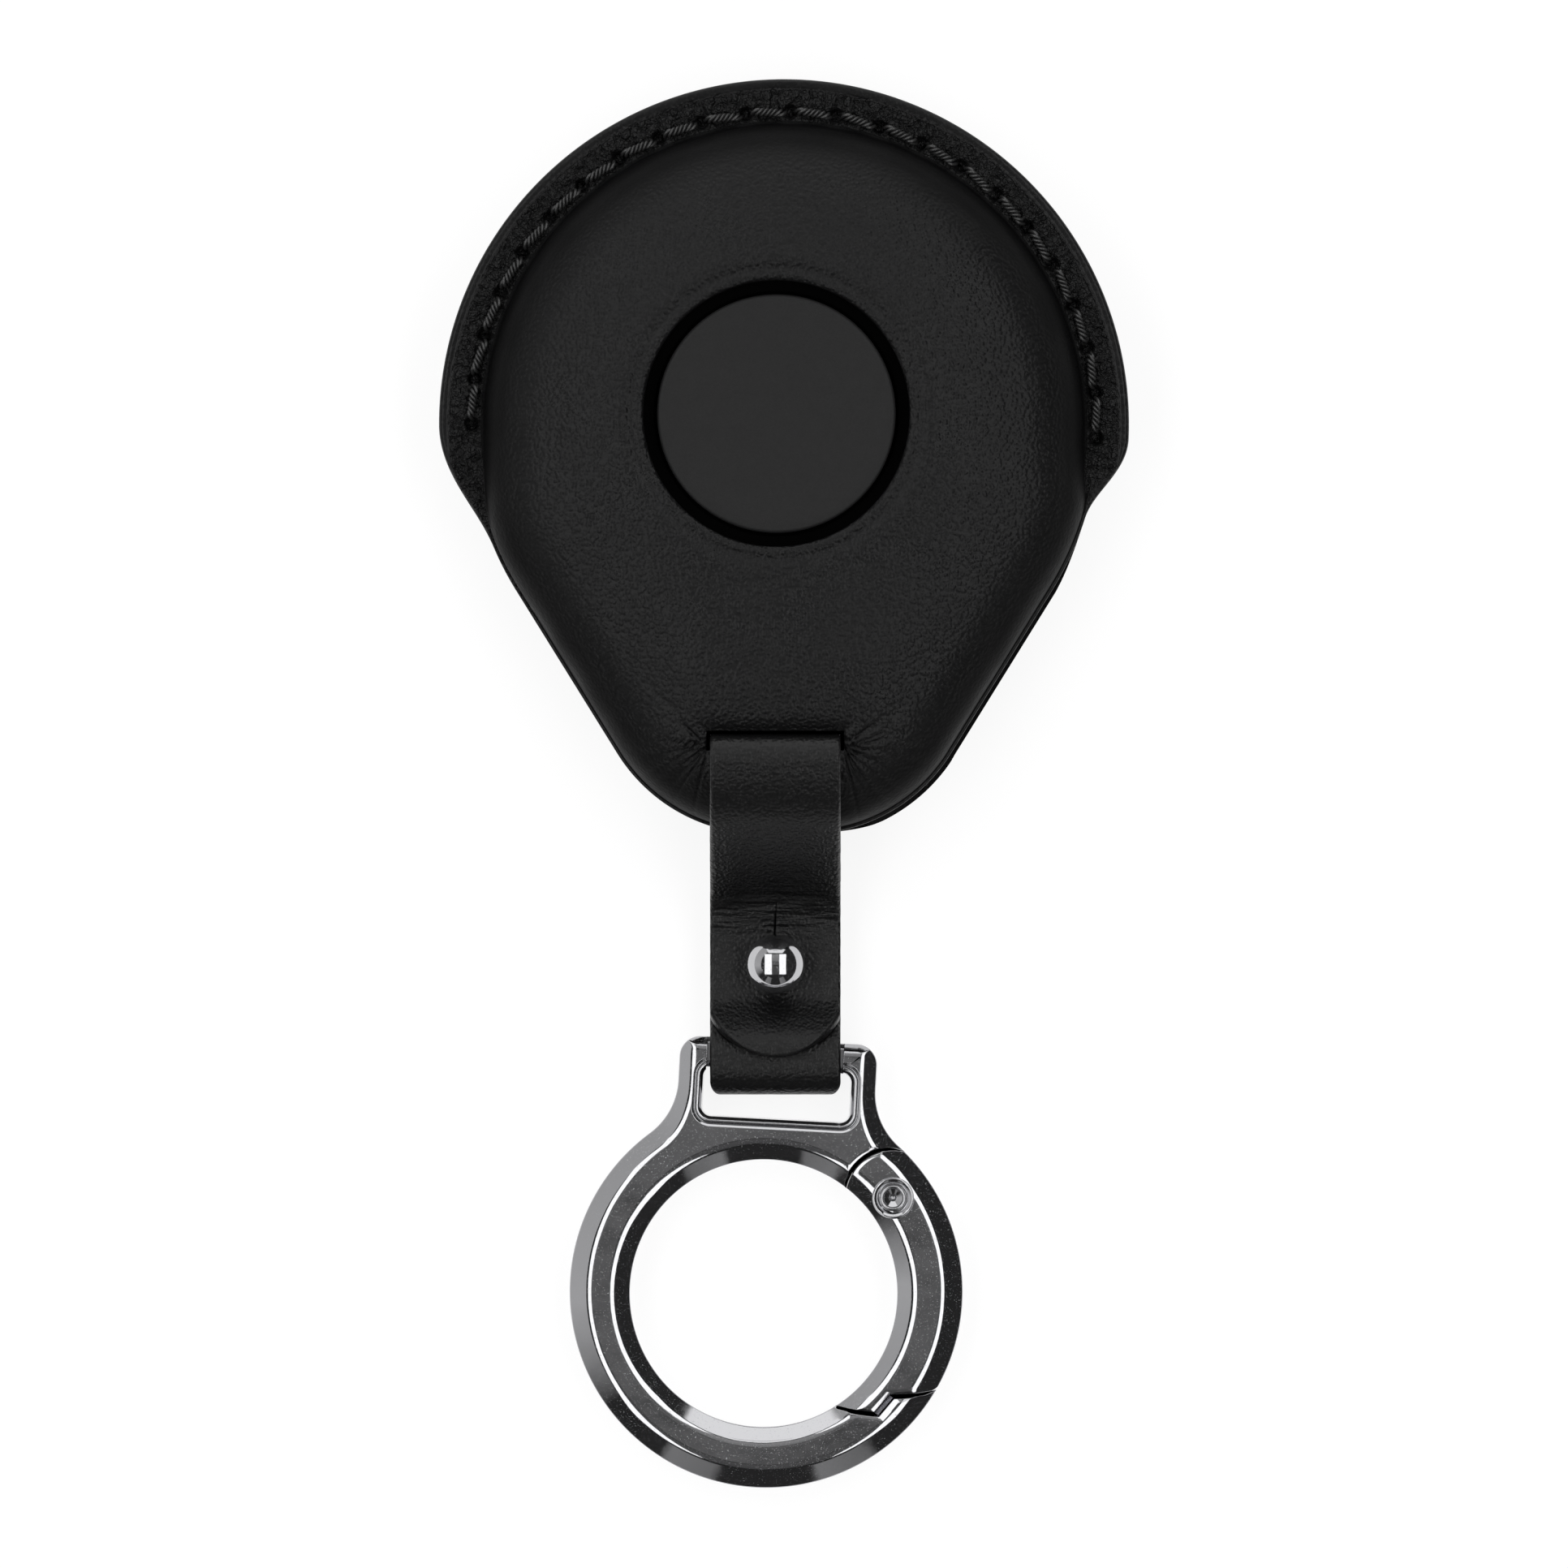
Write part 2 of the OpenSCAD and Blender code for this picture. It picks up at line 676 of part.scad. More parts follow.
module stud_head() {
    color([0.45, 0.45, 0.47])
        placed()
            translate([strap_x, stud_y, 0])
                difference() {
                    union() {
                        translate([0, 0, ball_z])
                            sphere(r = ball_r);
                        translate([0, 0, stud_seat])
                            cylinder(r = neck_r, h = ball_z - stud_seat);
                        translate([0, 0, stud_seat])
                            cylinder(r = stud_flange_r, h = stud_flange_t);
                        translate([0, 0, screw_head_t + seat_gap])
                            cylinder(r = post_r, h = stud_seat - screw_head_t);
                    }
                    translate([0, 0, -cut])
                        cylinder(r = screw_r + pin_fit, h = cut + stud_seat + stud_flange_t + strap_t);
                }
}

module stud_screw() {
    color([0.45, 0.45, 0.47])
        placed()
            translate([strap_x, stud_y, 0])
                difference() {
                    union() {
                        cylinder(r = screw_head_r, h = screw_head_t);
                        cylinder(r = screw_r, h = stud_seat + stud_flange_t);
                    }
                    translate([-screw_head_r - cut, -screw_r / 2, -cut])
                        cube([2 * (screw_head_r + cut), screw_r, cut + screw_head_t / 2]);
                }
}

// Distances from the ring's centre, and reaches from the gate's pin
bore_r = ring_r - band_w;
bar_up = ring_r + bar_out;
opening_low = ring_r - opening_in;
pin_out = ring_r - pin_in;
reach_out = pin_out * reach_out_share;
reach_in = pin_out * reach_in_share;

// Ring: its own frame has the ring's centre as origin and the loop along +Y
ring_x = strap_x + loop_right - bar_up * sin(ring_turn);
ring_y = bar_y - bar_up * cos(ring_turn);
ring_half = ring_t / 2;
pin_at = pin_out * [cos(pin_dir), sin(pin_dir)];
arm_dir = pin_dir - 90;

module in_ring_frame() {
    translate([ring_x, ring_y, bar_z])
        rotate([0, 0, -ring_turn])
            children();
}

// The hole lies a little off the ring's centre, away from the pin
module at_bore() {
    translate([-bore_shift * cos(pin_dir), -bore_shift * sin(pin_dir), 0])
        children();
}

module at_pin(z) {
    translate([pin_at[0], pin_at[1], z])
        children();
}

module ring_blank() {
    difference() {
        rotate_extrude($fn = 128)
            polygon([
                [0, -ring_half],
                [ring_r - chamfer_out, -ring_half],
                [ring_r, chamfer_deep - ring_half],
                [ring_r, ring_half - chamfer_deep],
                [ring_r - chamfer_out, ring_half],
                [0, ring_half]]);
        at_bore()
            ring_bore();
    }
}

// The hole and its two inner chamfers, as the solid to take away
module ring_bore() {
    mouth_r = bore_r + chamfer_in * (1 + cut / chamfer_deep);
    rotate_extrude($fn = 128)
        polygon([
            [0, -ring_half - cut],
            [mouth_r, -ring_half - cut],
            [bore_r, chamfer_deep - ring_half],
            [bore_r, ring_half - chamfer_deep],
            [mouth_r, ring_half + cut],
            [0, ring_half + cut]]);
}

// Outline of the loop and its necks, drawn in by a chamfer: sides, top and ring side each by their own
loop_half = loop_w / 2;
loop_top = bar_up + bar_w / 2;
blend_x = loop_half + neck_blend_r;
blend_y = sqrt(pow(ring_r + neck_blend_r, 2) - pow(blend_x, 2));
blend_dir = atan2(blend_y, blend_x);
blend_steps = 6;
corner_arc_steps = 5;
// How deep the necks' first points lie inside the ring
neck_bite = 0.15;
// How far the loop's faces lie below the ring's
loop_set = 0.05;
function half_loop(side_in, top_in) = concat(
    [for (i = [0 : blend_steps])
        let (a = mix(180 + blend_dir, 180, i / blend_steps))
        let (inset = side_in > 0 ? mix(chamfer_out, side_in, i / blend_steps) : 0)
        let (r = neck_blend_r + inset + (i == 0 ? neck_bite : 0))
        [blend_x + r * cos(a), blend_y + r * sin(a)]],
    [for (i = [0 : corner_arc_steps])
        let (a = 90 * i / corner_arc_steps)
        [loop_half - corner_r + (corner_r - side_in) * cos(a),
         loop_top - corner_r + (corner_r - top_in) * sin(a)]]);
function mirrored(v) = [for (i = [len(v) - 1 : -1 : 0]) [-v[i][0], v[i][1]]];
function loop_ring(side_in, top_in, z) =
    [for (p = concat(half_loop(side_in, top_in), mirrored(half_loop(side_in, top_in)))) lifted(p, z)];
// Widths of the chamfers along the loop's sides and along its top
loop_side_chamfer = 1.25;
loop_top_chamfer = 0.8;

module loop_plate() {
    half = ring_half - loop_set;
    loft([
        loop_ring(loop_side_chamfer, loop_top_chamfer, -half),
        loop_ring(0, 0, chamfer_deep - half),
        loop_ring(0, 0, half - chamfer_deep),
        loop_ring(loop_side_chamfer, loop_top_chamfer, half)]);
}

bar_low = bar_up - bar_w / 2;
// Radius of the opening's two inner corners
opening_r = 0.8;

module loop_opening() {
    linear_extrude(2 * ring_t, center = true) {
        translate([-opening_w / 2, opening_low + opening_r])
            square([opening_w, bar_low - opening_low - opening_r]);
        translate([opening_r - opening_w / 2, opening_low])
            square([opening_w - 2 * opening_r, bar_low - opening_low]);
        for (side = [-1, 1])
            translate([side * (opening_w / 2 - opening_r), opening_low + opening_r])
                circle(r = opening_r, $fn = 24);
    }
}

// Bevel along the bar's edges
bar_bevel = 0.5;
// Room between the strap's edge and the loop's full height, for the slant as the ring swings
bar_side_room = 0.45;

// The bar is thinner than the loop beside it: this is what goes round it
module bar_round() {
    right = strap_w / 2 - loop_right + bar_side_room;
    difference() {
        translate([-opening_w / 2, bar_low - cut, -ring_t])
            cube([opening_w / 2 + right, bar_w + 2 * cut, 2 * ring_t]);
        rotate([90, 0, 90])
            linear_extrude(loop_w, center = true)
                polygon([
                    [bar_low + bar_bevel, -bar_t / 2],
                    [loop_top - bar_bevel, -bar_t / 2],
                    [loop_top, bar_bevel - bar_t / 2],
                    [loop_top, bar_t / 2 - bar_bevel],
                    [loop_top - bar_bevel, bar_t / 2],
                    [bar_low + bar_bevel, bar_t / 2],
                    [bar_low, bar_t / 2 - bar_bevel],
                    [bar_low, bar_bevel - bar_t / 2]]);
    }
}

// What the gate sweeps in plan, with a margin: a round head and an arm with a hooked end
arm_steps = 8;
function polar(r, a) = [r * cos(a), r * sin(a)];
function turned(p, a) = [p[0] * cos(a) - p[1] * sin(a), p[0] * sin(a) + p[1] * cos(a)];

module arm_outline(margin) {
    shift = atan(margin / reach_out);
    start = arm_dir + 88;
    far = arm_dir - 88;
    translate(pin_at)
        polygon(concat(
            [[0, 0]],
            [for (i = [0 : arm_steps])
                polar(reach_out + margin, mix(start, hook_dir + shift, i / arm_steps))],
            [for (i = [0 : arm_steps])
                polar(reach_in + margin, mix(hook_dir - hook_slant + shift, far, i / arm_steps))]));
}

module gate_zone(margin) {
    translate([pin_at[0], pin_at[1], -ring_t])
        cylinder(r = gate_head_r + margin, h = 2 * ring_t);
    linear_extrude(2 * ring_t, center = true)
        arm_outline(margin);
}

// How far the rounding's circle stands out past the two sides that it joins, so that it crosses them
tip_out = 0.06;

// Between the ring's outside and the gate's end, this takes off the corner that the two would leave
module gate_corner() {
    a = ring_r - tip_round + tip_out;
    b = reach_out - tip_round + tip_out;
    along = (pow(a, 2) - pow(b, 2) + pow(pin_out, 2)) / (2 * pin_out);
    centre = along * unit(pin_at) - sqrt(pow(a, 2) - pow(along, 2)) * left_of(unit(pin_at));
    far = 3 * tip_round;
    from_ring = unit(centre);
    from_pin = unit(centre - pin_at);
    linear_extrude(2 * ring_t, center = true)
        difference() {
            polygon([
                centre,
                centre + far * from_ring,
                centre + far * unit(from_ring + from_pin) * sqrt(2),
                centre + far * from_pin]);
            translate(centre)
                circle(r = tip_round);
        }
}

// The frame's eye, which the gate's two ears hold between them, on a neck out of the frame
eye_neck_w = eye_r * 4 / 3;
// How far that neck runs into the frame
neck_root = 1.4;
// Gap between the eye's faces and the gate's ears
eye_gap = 0.1;
function neck_start(hole, r, half) = (hole + sqrt(pow(r, 2) - pow(half, 2))) / 2;

module eye() {
    start = neck_start(pocket_r, eye_r, eye_neck_w / 2);
    at_pin(-eye_t / 2)
        rotate([0, 0, arm_dir + 180])
            linear_extrude(eye_t) {
                circle(r = eye_r);
                translate([start, -eye_neck_w / 2])
                    square([gate_head_r + gate_gap + neck_root - start, eye_neck_w]);
            }
}

// The slot between the gate's ears: room for the eye, and for its neck as the gate turns
module eye_slot() {
    r = eye_r + gate_gap;
    half = eye_neck_w / 2 + gate_gap;
    start = neck_start(pin_r, r, half);
    slot_h = eye_t + 2 * eye_gap;
    at_pin(-slot_h / 2)
        rotate([0, 0, arm_dir + 180])
            linear_extrude(slot_h) {
                circle(r = r);
                polygon([
                    [start, -half],
                    [ring_r, -half],
                    turned([ring_r, half], gate_range),
                    turned([start, half], gate_range),
                    turned([eye_r * 2 / 3, 0], gate_range / 2)]);
            }
}

spring_r = pin_r + pin_fit + wire_r * 2;
spring_pitch = 2 * wire_r + seat_gap;
pocket_r = spring_r + 2 * wire_r;
pocket_deep = spring_turns * spring_pitch + 2 * wire_r;

module ring_frame() {
    color([0.4, 0.4, 0.42])
        placed()
            in_ring_frame()
                difference() {
                    union() {
                        difference() {
                            union() {
                                ring_blank();
                                difference() {
                                    loop_plate();
                                    at_bore()
                                        ring_bore();
                                }
                            }
                            loop_opening();
                            bar_round();
                            gate_zone(gate_gap);
                        }
                        eye();
                    }
                    at_pin(-ring_t)
                        cylinder(r = pin_r + pin_fit, h = 2 * ring_t);
                    at_pin(eye_t / 2 - pocket_deep)
                        cylinder(r = pocket_r, h = ring_t);
                }
}

// Gap between the pin and the gate that it is riveted into
pin_seat = 0.01;

module gate() {
    color([0.42, 0.42, 0.44])
        placed()
            in_ring_frame()
                difference() {
                    union() {
                        intersection() {
                            ring_blank();
                            gate_zone(0);
                        }
                        at_pin(-ring_half)
                            cylinder(r = boss_r, h = ring_t + boss_h);
                    }
                    eye_slot();
                    gate_corner();
                    at_pin(-ring_t)
                        cylinder(r = pin_r + pin_seat, h = 2 * ring_t);
                }
}

module gate_pin() {
    pin_l = ring_t + boss_h;
    color([0.5, 0.5, 0.52])
        placed()
            in_ring_frame()
                at_pin(-ring_half)
                    difference() {
                        cylinder(r = pin_r, h = pin_l);
                        for (z = [0, pin_l])
                            translate([0, 0, z])
                                cylinder(r = pin_hollow_r, h = 2 * boss_h, center = true);
                    }
}

// The spring's wire is a helix about the pin
turn_steps = 16;
wire_sides = 6;
function coil_point(u) = let (a = 360 * spring_turns * u)
    [spring_r * cos(a), spring_r * sin(a), spring_pitch * spring_turns * u];
function coil_dir(u) = let (a = 360 * spring_turns * u)
    unit([-sin(a), cos(a), spring_pitch / (2 * PI * spring_r)]);
function coil_ring(u) =
    let (c = coil_point(u), t = coil_dir(u))
    let (a = 360 * spring_turns * u, n = [cos(a), sin(a), 0], b = cross(t, n))
    [for (k = [0 : wire_sides - 1])
        c + wire_r * (n * cos(360 * k / wire_sides) + b * sin(360 * k / wire_sides))];

module gate_spring() {
    n = round(spring_turns * turn_steps);
    color([0.7, 0.7, 0.7])
        placed()
            in_ring_frame()
                translate([pin_at[0], pin_at[1], eye_t / 2 - pocket_deep + wire_r + seat_gap])
                    loft([for (i = [0 : n]) coil_ring(i / n)]);
}

front_shell();
back_shell();
front_lining();
back_lining();
seam_thread();
fob_upper_case();
fob_lower_case();
fob_button();
fob_pad();
fob_switch();
fob_board();
fob_cell();
strap_loop();
strap_tail();
strap_tab();
stud_head();
stud_screw();
ring_frame();
gate();
gate_pin();
gate_spring();
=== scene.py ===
"""Looks of a leather car key fob cover with its strap, ball stud and snap ring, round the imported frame."""

import json
import math

import bpy
import numpy as np
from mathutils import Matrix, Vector, noise


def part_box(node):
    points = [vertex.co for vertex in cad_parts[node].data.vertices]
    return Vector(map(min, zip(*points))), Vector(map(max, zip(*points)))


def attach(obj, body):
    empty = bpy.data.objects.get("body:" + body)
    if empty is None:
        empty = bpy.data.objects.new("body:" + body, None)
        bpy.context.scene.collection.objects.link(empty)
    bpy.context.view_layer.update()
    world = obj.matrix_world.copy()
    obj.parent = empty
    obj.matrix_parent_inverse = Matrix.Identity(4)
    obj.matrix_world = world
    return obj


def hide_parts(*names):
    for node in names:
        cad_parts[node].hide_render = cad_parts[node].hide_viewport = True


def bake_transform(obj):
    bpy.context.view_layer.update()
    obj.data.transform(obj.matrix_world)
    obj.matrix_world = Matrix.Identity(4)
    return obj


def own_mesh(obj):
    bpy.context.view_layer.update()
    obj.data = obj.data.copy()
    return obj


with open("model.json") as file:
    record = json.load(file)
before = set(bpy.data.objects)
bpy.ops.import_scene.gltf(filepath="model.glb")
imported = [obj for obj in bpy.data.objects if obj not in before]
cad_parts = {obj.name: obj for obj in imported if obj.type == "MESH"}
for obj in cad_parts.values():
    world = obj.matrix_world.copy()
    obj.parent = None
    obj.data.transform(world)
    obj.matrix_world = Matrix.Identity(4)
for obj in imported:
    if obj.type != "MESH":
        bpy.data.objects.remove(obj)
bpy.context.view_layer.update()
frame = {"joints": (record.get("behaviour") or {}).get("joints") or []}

bl_info = {
    "name": "Key fob cover",
    "version": (1, 0, 0),
    "blender": (4, 5, 0),
    "location": "View3D > Sidebar > Fob Cover",
    "description": "Builds a stitched leather fob cover with a strap, a ball stud and a snap ring",
    "category": "Add Mesh",
}

MM = 0.001

# Places and sizes that the frame gives
front_low, front_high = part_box("front_shell")
button_low, button_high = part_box("fob_button")
strap_low, strap_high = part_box("strap_loop")
tab_low, tab_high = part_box("strap_tab")
tail_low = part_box("strap_tail")[0]
stud_low, stud_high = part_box("stud_head")
ring_low, ring_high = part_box("ring_frame")
pin_low, pin_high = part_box("gate_pin")
pad_low, pad_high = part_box("fob_pad")
joints = {j["name"]: j for j in frame["joints"]}


# Settings

class CaseSettings(bpy.types.PropertyGroup):
    """Sizes of the two moulded shells."""

    top_radius: bpy.props.FloatProperty(
        name="Top radius", description="Radius of the round top, without its flange",
        default=29.0 * MM, unit="LENGTH")
    tip_radius: bpy.props.FloatProperty(
        name="Tip radius", description="Radius of the two corners of the narrow end",
        default=15.7 * MM, unit="LENGTH")
    tip_half: bpy.props.FloatProperty(
        name="Tip half", description="Half the distance between the centres of those corners",
        default=2.0 * MM, unit="LENGTH")
    taper_length: bpy.props.FloatProperty(
        name="Taper", description="From the centre of the top down to the centres of the corners",
        default=22.0 * MM, unit="LENGTH")
    flange_radius: bpy.props.FloatProperty(
        name="Flange radius", description="Radius of the stitched flange round the top",
        default=31.72 * MM, unit="LENGTH")
    flange_right: bpy.props.FloatProperty(
        name="Flange right end", description="Direction in which the full flange ends on the right",
        default=math.radians(-2.5), unit="ROTATION")
    flange_left: bpy.props.FloatProperty(
        name="Flange left end", description="Direction in which the full flange ends on the left",
        default=math.radians(180), unit="ROTATION")
    runout_right: bpy.props.FloatProperty(
        name="Right run-out", description="Angle over which the flange runs out on the right",
        default=math.radians(15), unit="ROTATION")
    runout_left: bpy.props.FloatProperty(
        name="Left run-out", description="Angle over which the flange runs out on the left",
        default=math.radians(23), unit="ROTATION")
    leather: bpy.props.FloatProperty(
        name="Leather", description="Thickness of the shell leather", default=1.2 * MM, unit="LENGTH")
    front_crown: bpy.props.FloatProperty(
        name="Front crown", description="Rise of the front from its shoulder to the window",
        default=2.0 * MM, unit="LENGTH")
    front_round: bpy.props.FloatProperty(
        name="Front rounding", description="Width over which the front wall rounds over",
        default=9.0 * MM, unit="LENGTH")
    back_crown: bpy.props.FloatProperty(
        name="Back crown", description="Height of the back's shoulder over its flat",
        default=2.6 * MM, unit="LENGTH")
    back_round: bpy.props.FloatProperty(
        name="Back rounding", description="Width over which the back wall rounds under",
        default=8.0 * MM, unit="LENGTH")
    flat_inset: bpy.props.FloatProperty(
        name="Flat inset", description="From the edge of the case to the flat of its back",
        default=13.5 * MM, unit="LENGTH")
    foot_side: bpy.props.FloatProperty(
        name="Side foot", description="From the edge to the foot of the wall beside the taper",
        default=0.35 * MM, unit="LENGTH")
    foot_flange: bpy.props.FloatProperty(
        name="Flange foot", description="From the round top to the foot of the wall along the flange",
        default=1.5 * MM, unit="LENGTH")
    window_radius: bpy.props.FloatProperty(
        name="Window radius", description="Radius of the window in the front",
        default=12.2 * MM, unit="LENGTH")
    lip: bpy.props.FloatProperty(
        name="Lip", description="Width of the turned lip round the window",
        default=0.75 * MM, unit="LENGTH")
    seam_radius: bpy.props.FloatProperty(
        name="Seam radius", description="From the centre of the top to the seam",
        default=28.7 * MM, unit="LENGTH")
    stitches: bpy.props.IntProperty(
        name="Stitches", description="Number of stitches round the top", default=22)
    thread: bpy.props.FloatProperty(
        name="Thread", description="Radius of the sewing thread", default=0.39 * MM, unit="LENGTH")


class StrapSettings(bpy.types.PropertyGroup):
    """Sizes of the strap."""

    width: bpy.props.FloatProperty(
        name="Width", description="Width of the strap",
        default=strap_high.x - strap_low.x, unit="LENGTH")
    thickness: bpy.props.FloatProperty(
        name="Thickness", description="Thickness of the strap leather", default=1.2 * MM, unit="LENGTH")
    slot_bend: bpy.props.FloatProperty(
        name="Slot bend", description="Radius of its bends at the slots, at mid thickness",
        default=1.3 * MM, unit="LENGTH")
    leg_bend: bpy.props.FloatProperty(
        name="Leg bend", description="Radius of the bend where the front leg comes down",
        default=3.4 * MM, unit="LENGTH")
    fold_round: bpy.props.FloatProperty(
        name="Fold corners", description="Rounding of the fold's two corners, seen from above",
        default=0.8 * MM, unit="LENGTH")


class RingSettings(bpy.types.PropertyGroup):
    """Sizes of the snap ring and its gate."""

    outer_radius: bpy.props.FloatProperty(
        name="Outer radius", description="Outer radius of the ring", default=18.1 * MM, unit="LENGTH")
    bore_radius: bpy.props.FloatProperty(
        name="Bore radius", description="Radius of the hole in the ring", default=12.3 * MM, unit="LENGTH")
    bore_shift: bpy.props.FloatProperty(
        name="Bore shift", description="How far the hole lies off the centre, away from the gate",
        default=0.3 * MM, unit="LENGTH")
    chamfer_out: bpy.props.FloatProperty(
        name="Outer chamfer", description="Width of the outer chamfer", default=1.75 * MM, unit="LENGTH")
    chamfer_in: bpy.props.FloatProperty(
        name="Inner chamfer", description="Width of the inner chamfer", default=1.6 * MM, unit="LENGTH")
    chamfer_deep: bpy.props.FloatProperty(
        name="Outer depth", description="Depth of the outer chamfer", default=1.25 * MM, unit="LENGTH")
    inner_deep: bpy.props.FloatProperty(
        name="Inner depth", description="Depth of the inner chamfer", default=1.0 * MM, unit="LENGTH")
    fillet: bpy.props.FloatProperty(
        name="Edge rounding", description="Rounding of the polished edges", default=0.42 * MM, unit="LENGTH")
    loop_width: bpy.props.FloatProperty(
        name="Loop width", description="Outer width of the loop", default=18.2 * MM, unit="LENGTH")
    loop_top: bpy.props.FloatProperty(
        name="Loop top", description="From the ring's centre to the top of the loop",
        default=23.15 * MM, unit="LENGTH")
    neck_radius: bpy.props.FloatProperty(
        name="Neck radius", description="Radius of the necks between loop and ring",
        default=6.5 * MM, unit="LENGTH")
    opening_width: bpy.props.FloatProperty(
        name="Opening width", description="Width of the opening in the loop",
        default=13.5 * MM, unit="LENGTH")
    opening_low: bpy.props.FloatProperty(
        name="Opening foot", description="From the ring's centre to the near side of the opening",
        default=15.95 * MM, unit="LENGTH")
    turn: bpy.props.FloatProperty(
        name="Turn", description="Turn of the ring about the vertical, clockwise",
        default=math.radians(3), unit="ROTATION")
    gate_head: bpy.props.FloatProperty(
        name="Gate head", description="Radius of the gate's round end", default=4.35 * MM, unit="LENGTH")
    gate_gap: bpy.props.FloatProperty(
        name="Gate gap", description="Gap between gate and frame", default=0.3 * MM, unit="LENGTH")


class FinishSettings(bpy.types.PropertyGroup):
    """Colours of the finishes."""

    leather_colour: bpy.props.FloatVectorProperty(
        name="Leather", description="Colour of the black leather", subtype="COLOR", size=3,
        default=(0.0062, 0.0062, 0.0064))
    thread_colour: bpy.props.FloatVectorProperty(
        name="Thread", description="Colour of the thread", subtype="COLOR", size=3,
        default=(0.026, 0.026, 0.026))
    metal_colour: bpy.props.FloatVectorProperty(
        name="Gunmetal", description="Colour of the dark plating", subtype="COLOR", size=3,
        default=(0.52, 0.52, 0.535))


SETTINGS = {
    "fob_case": CaseSettings,
    "fob_strap": StrapSettings,
    "fob_ring": RingSettings,
    "fob_finish": FinishSettings,
}


# Mesh helpers

def smoothstep(low, high, x):
    """0 below low, 1 above high, and smooth between."""
    t = np.clip((np.asarray(x, float) - low) / (high - low), 0, 1)
    return t * t * (3 - 2 * t)


def mix(a, b, t):
    return a + (b - a) * t


def bare_object(name, verts, faces):
    """A new mesh object in the scene."""
    mesh = bpy.data.meshes.new(name)
    mesh.from_pydata([tuple(v) for v in verts], [], [tuple(f) for f in faces])
    obj = bpy.data.objects.new(name, mesh)
    bpy.context.scene.collection.objects.link(obj)
    return obj


def make_object(name, verts, faces, material, body, slot, *nodes):
    """A smooth mesh piece that rides on a body and stands for CAD nodes, with its material. The slot is not
    used.
    """
    obj = bare_object(name, verts, faces)
    obj.data.validate()
    obj.data.materials.append(material)
    obj.data.shade_smooth()
    if body:
        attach(obj, body)
    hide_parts(*nodes)
    return obj


def grid_faces(rows, cols, close_rows=False, close_cols=False, start=0):
    """Quads of a grid whose vertices are stored row after row."""
    faces = []
    for j in range(rows if close_rows else rows - 1):
        for i in range(cols if close_cols else cols - 1):
            a = j * cols + i
            b = j * cols + (i + 1) % cols
            c = ((j + 1) % rows) * cols + (i + 1) % cols
            d = ((j + 1) % rows) * cols + i
            faces.append((start + a, start + b, start + c, start + d))
    return faces


def points_of(mesh):
    """The places of a mesh's vertices, a row for each."""
    co = np.empty(len(mesh.vertices) * 3)
    mesh.vertices.foreach_get("co", co)
    return co.reshape(-1, 3)


def unit_at(angle):
    """The flat direction at an angle."""
    return np.array([math.cos(angle), math.sin(angle)])


def quarter(steps, first=0):
    """Angles of a quarter turn, from a first step on."""
    return [math.pi / 2 * i / steps for i in range(first, steps + 1)]


def directions(points):
    """Unit tangents of a line of points."""
    tangent = np.gradient(points, axis=0)
    return tangent / np.linalg.norm(tangent, axis=1)[:, None]


def distances(points):
    """How far along a line each of its points lies."""
    return np.concatenate([[0], np.cumsum(np.linalg.norm(np.diff(points, axis=0), axis=1))])


def lathe(profile, steps, centre=(0, 0, 0)):
    """Vertices and faces of a closed turned shape about the vertical. The profile runs from axis to axis."""
    x, y, z = centre
    inner = profile[1:-1]
    verts = [(x, y, z + profile[0][1])]
    for r, up in inner:
        for i in range(steps):
            a = 2 * math.pi * i / steps
            verts.append((x + r * math.cos(a), y + r * math.sin(a), z + up))
    verts.append((x, y, z + profile[-1][1]))
    faces = grid_faces(len(inner), steps, close_cols=True, start=1)
    last = len(verts) - 1
    low = 1 + (len(inner) - 1) * steps
    for i in range(steps):
        faces.append((0, 1 + (i + 1) % steps, 1 + i))
        faces.append((last, low + i, low + (i + 1) % steps))
    return verts, faces


def loft_solid(rows):
    """Vertices and faces of a closed solid through outlines of equal count, from its underside up."""
    count = len(rows[0])
    verts = [tuple(p) for row in rows for p in row]
    faces = grid_faces(len(rows), count, close_cols=True)
    faces.append(tuple(range(count - 1, -1, -1)))
    faces.append(tuple(range((len(rows) - 1) * count, len(rows) * count)))
    return verts, faces


def slab(outline, low, high):
    """Vertices and faces of a solid of one outline between two heights."""
    return loft_solid([[(x, y, z) for x, y in outline] for z in (low, high)])


def boolean(obj, operation, verts, faces):
    """Adds, or takes away, a closed solid, and applies it."""
    tool = bare_object("cutter", verts, faces)
    modifier = obj.modifiers.new("cut", "BOOLEAN")
    modifier.operation = operation
    modifier.object = tool
    modifier.solver = "MANIFOLD"
    bpy.context.view_layer.update()
    done = bpy.data.meshes.new_from_object(obj.evaluated_get(bpy.context.evaluated_depsgraph_get()))
    obj.modifiers.remove(modifier)
    used = (obj.data, tool.data)
    obj.data = done
    done.name = obj.name
    bpy.data.objects.remove(tool)
    for mesh in used:
        bpy.data.meshes.remove(mesh)


def block(low, high):
    """Vertices and faces of a box between two corners."""
    xs, ys, zs = zip(low, high)
    verts = [(x, y, z) for z in zs for y in ys for x in xs]
    faces = [(0, 2, 3, 1), (4, 5, 7, 6), (0, 1, 5, 4), (2, 6, 7, 3), (0, 4, 6, 2), (1, 3, 7, 5)]
    return verts, faces


# The case's outline, the same as the frame's, with more stations

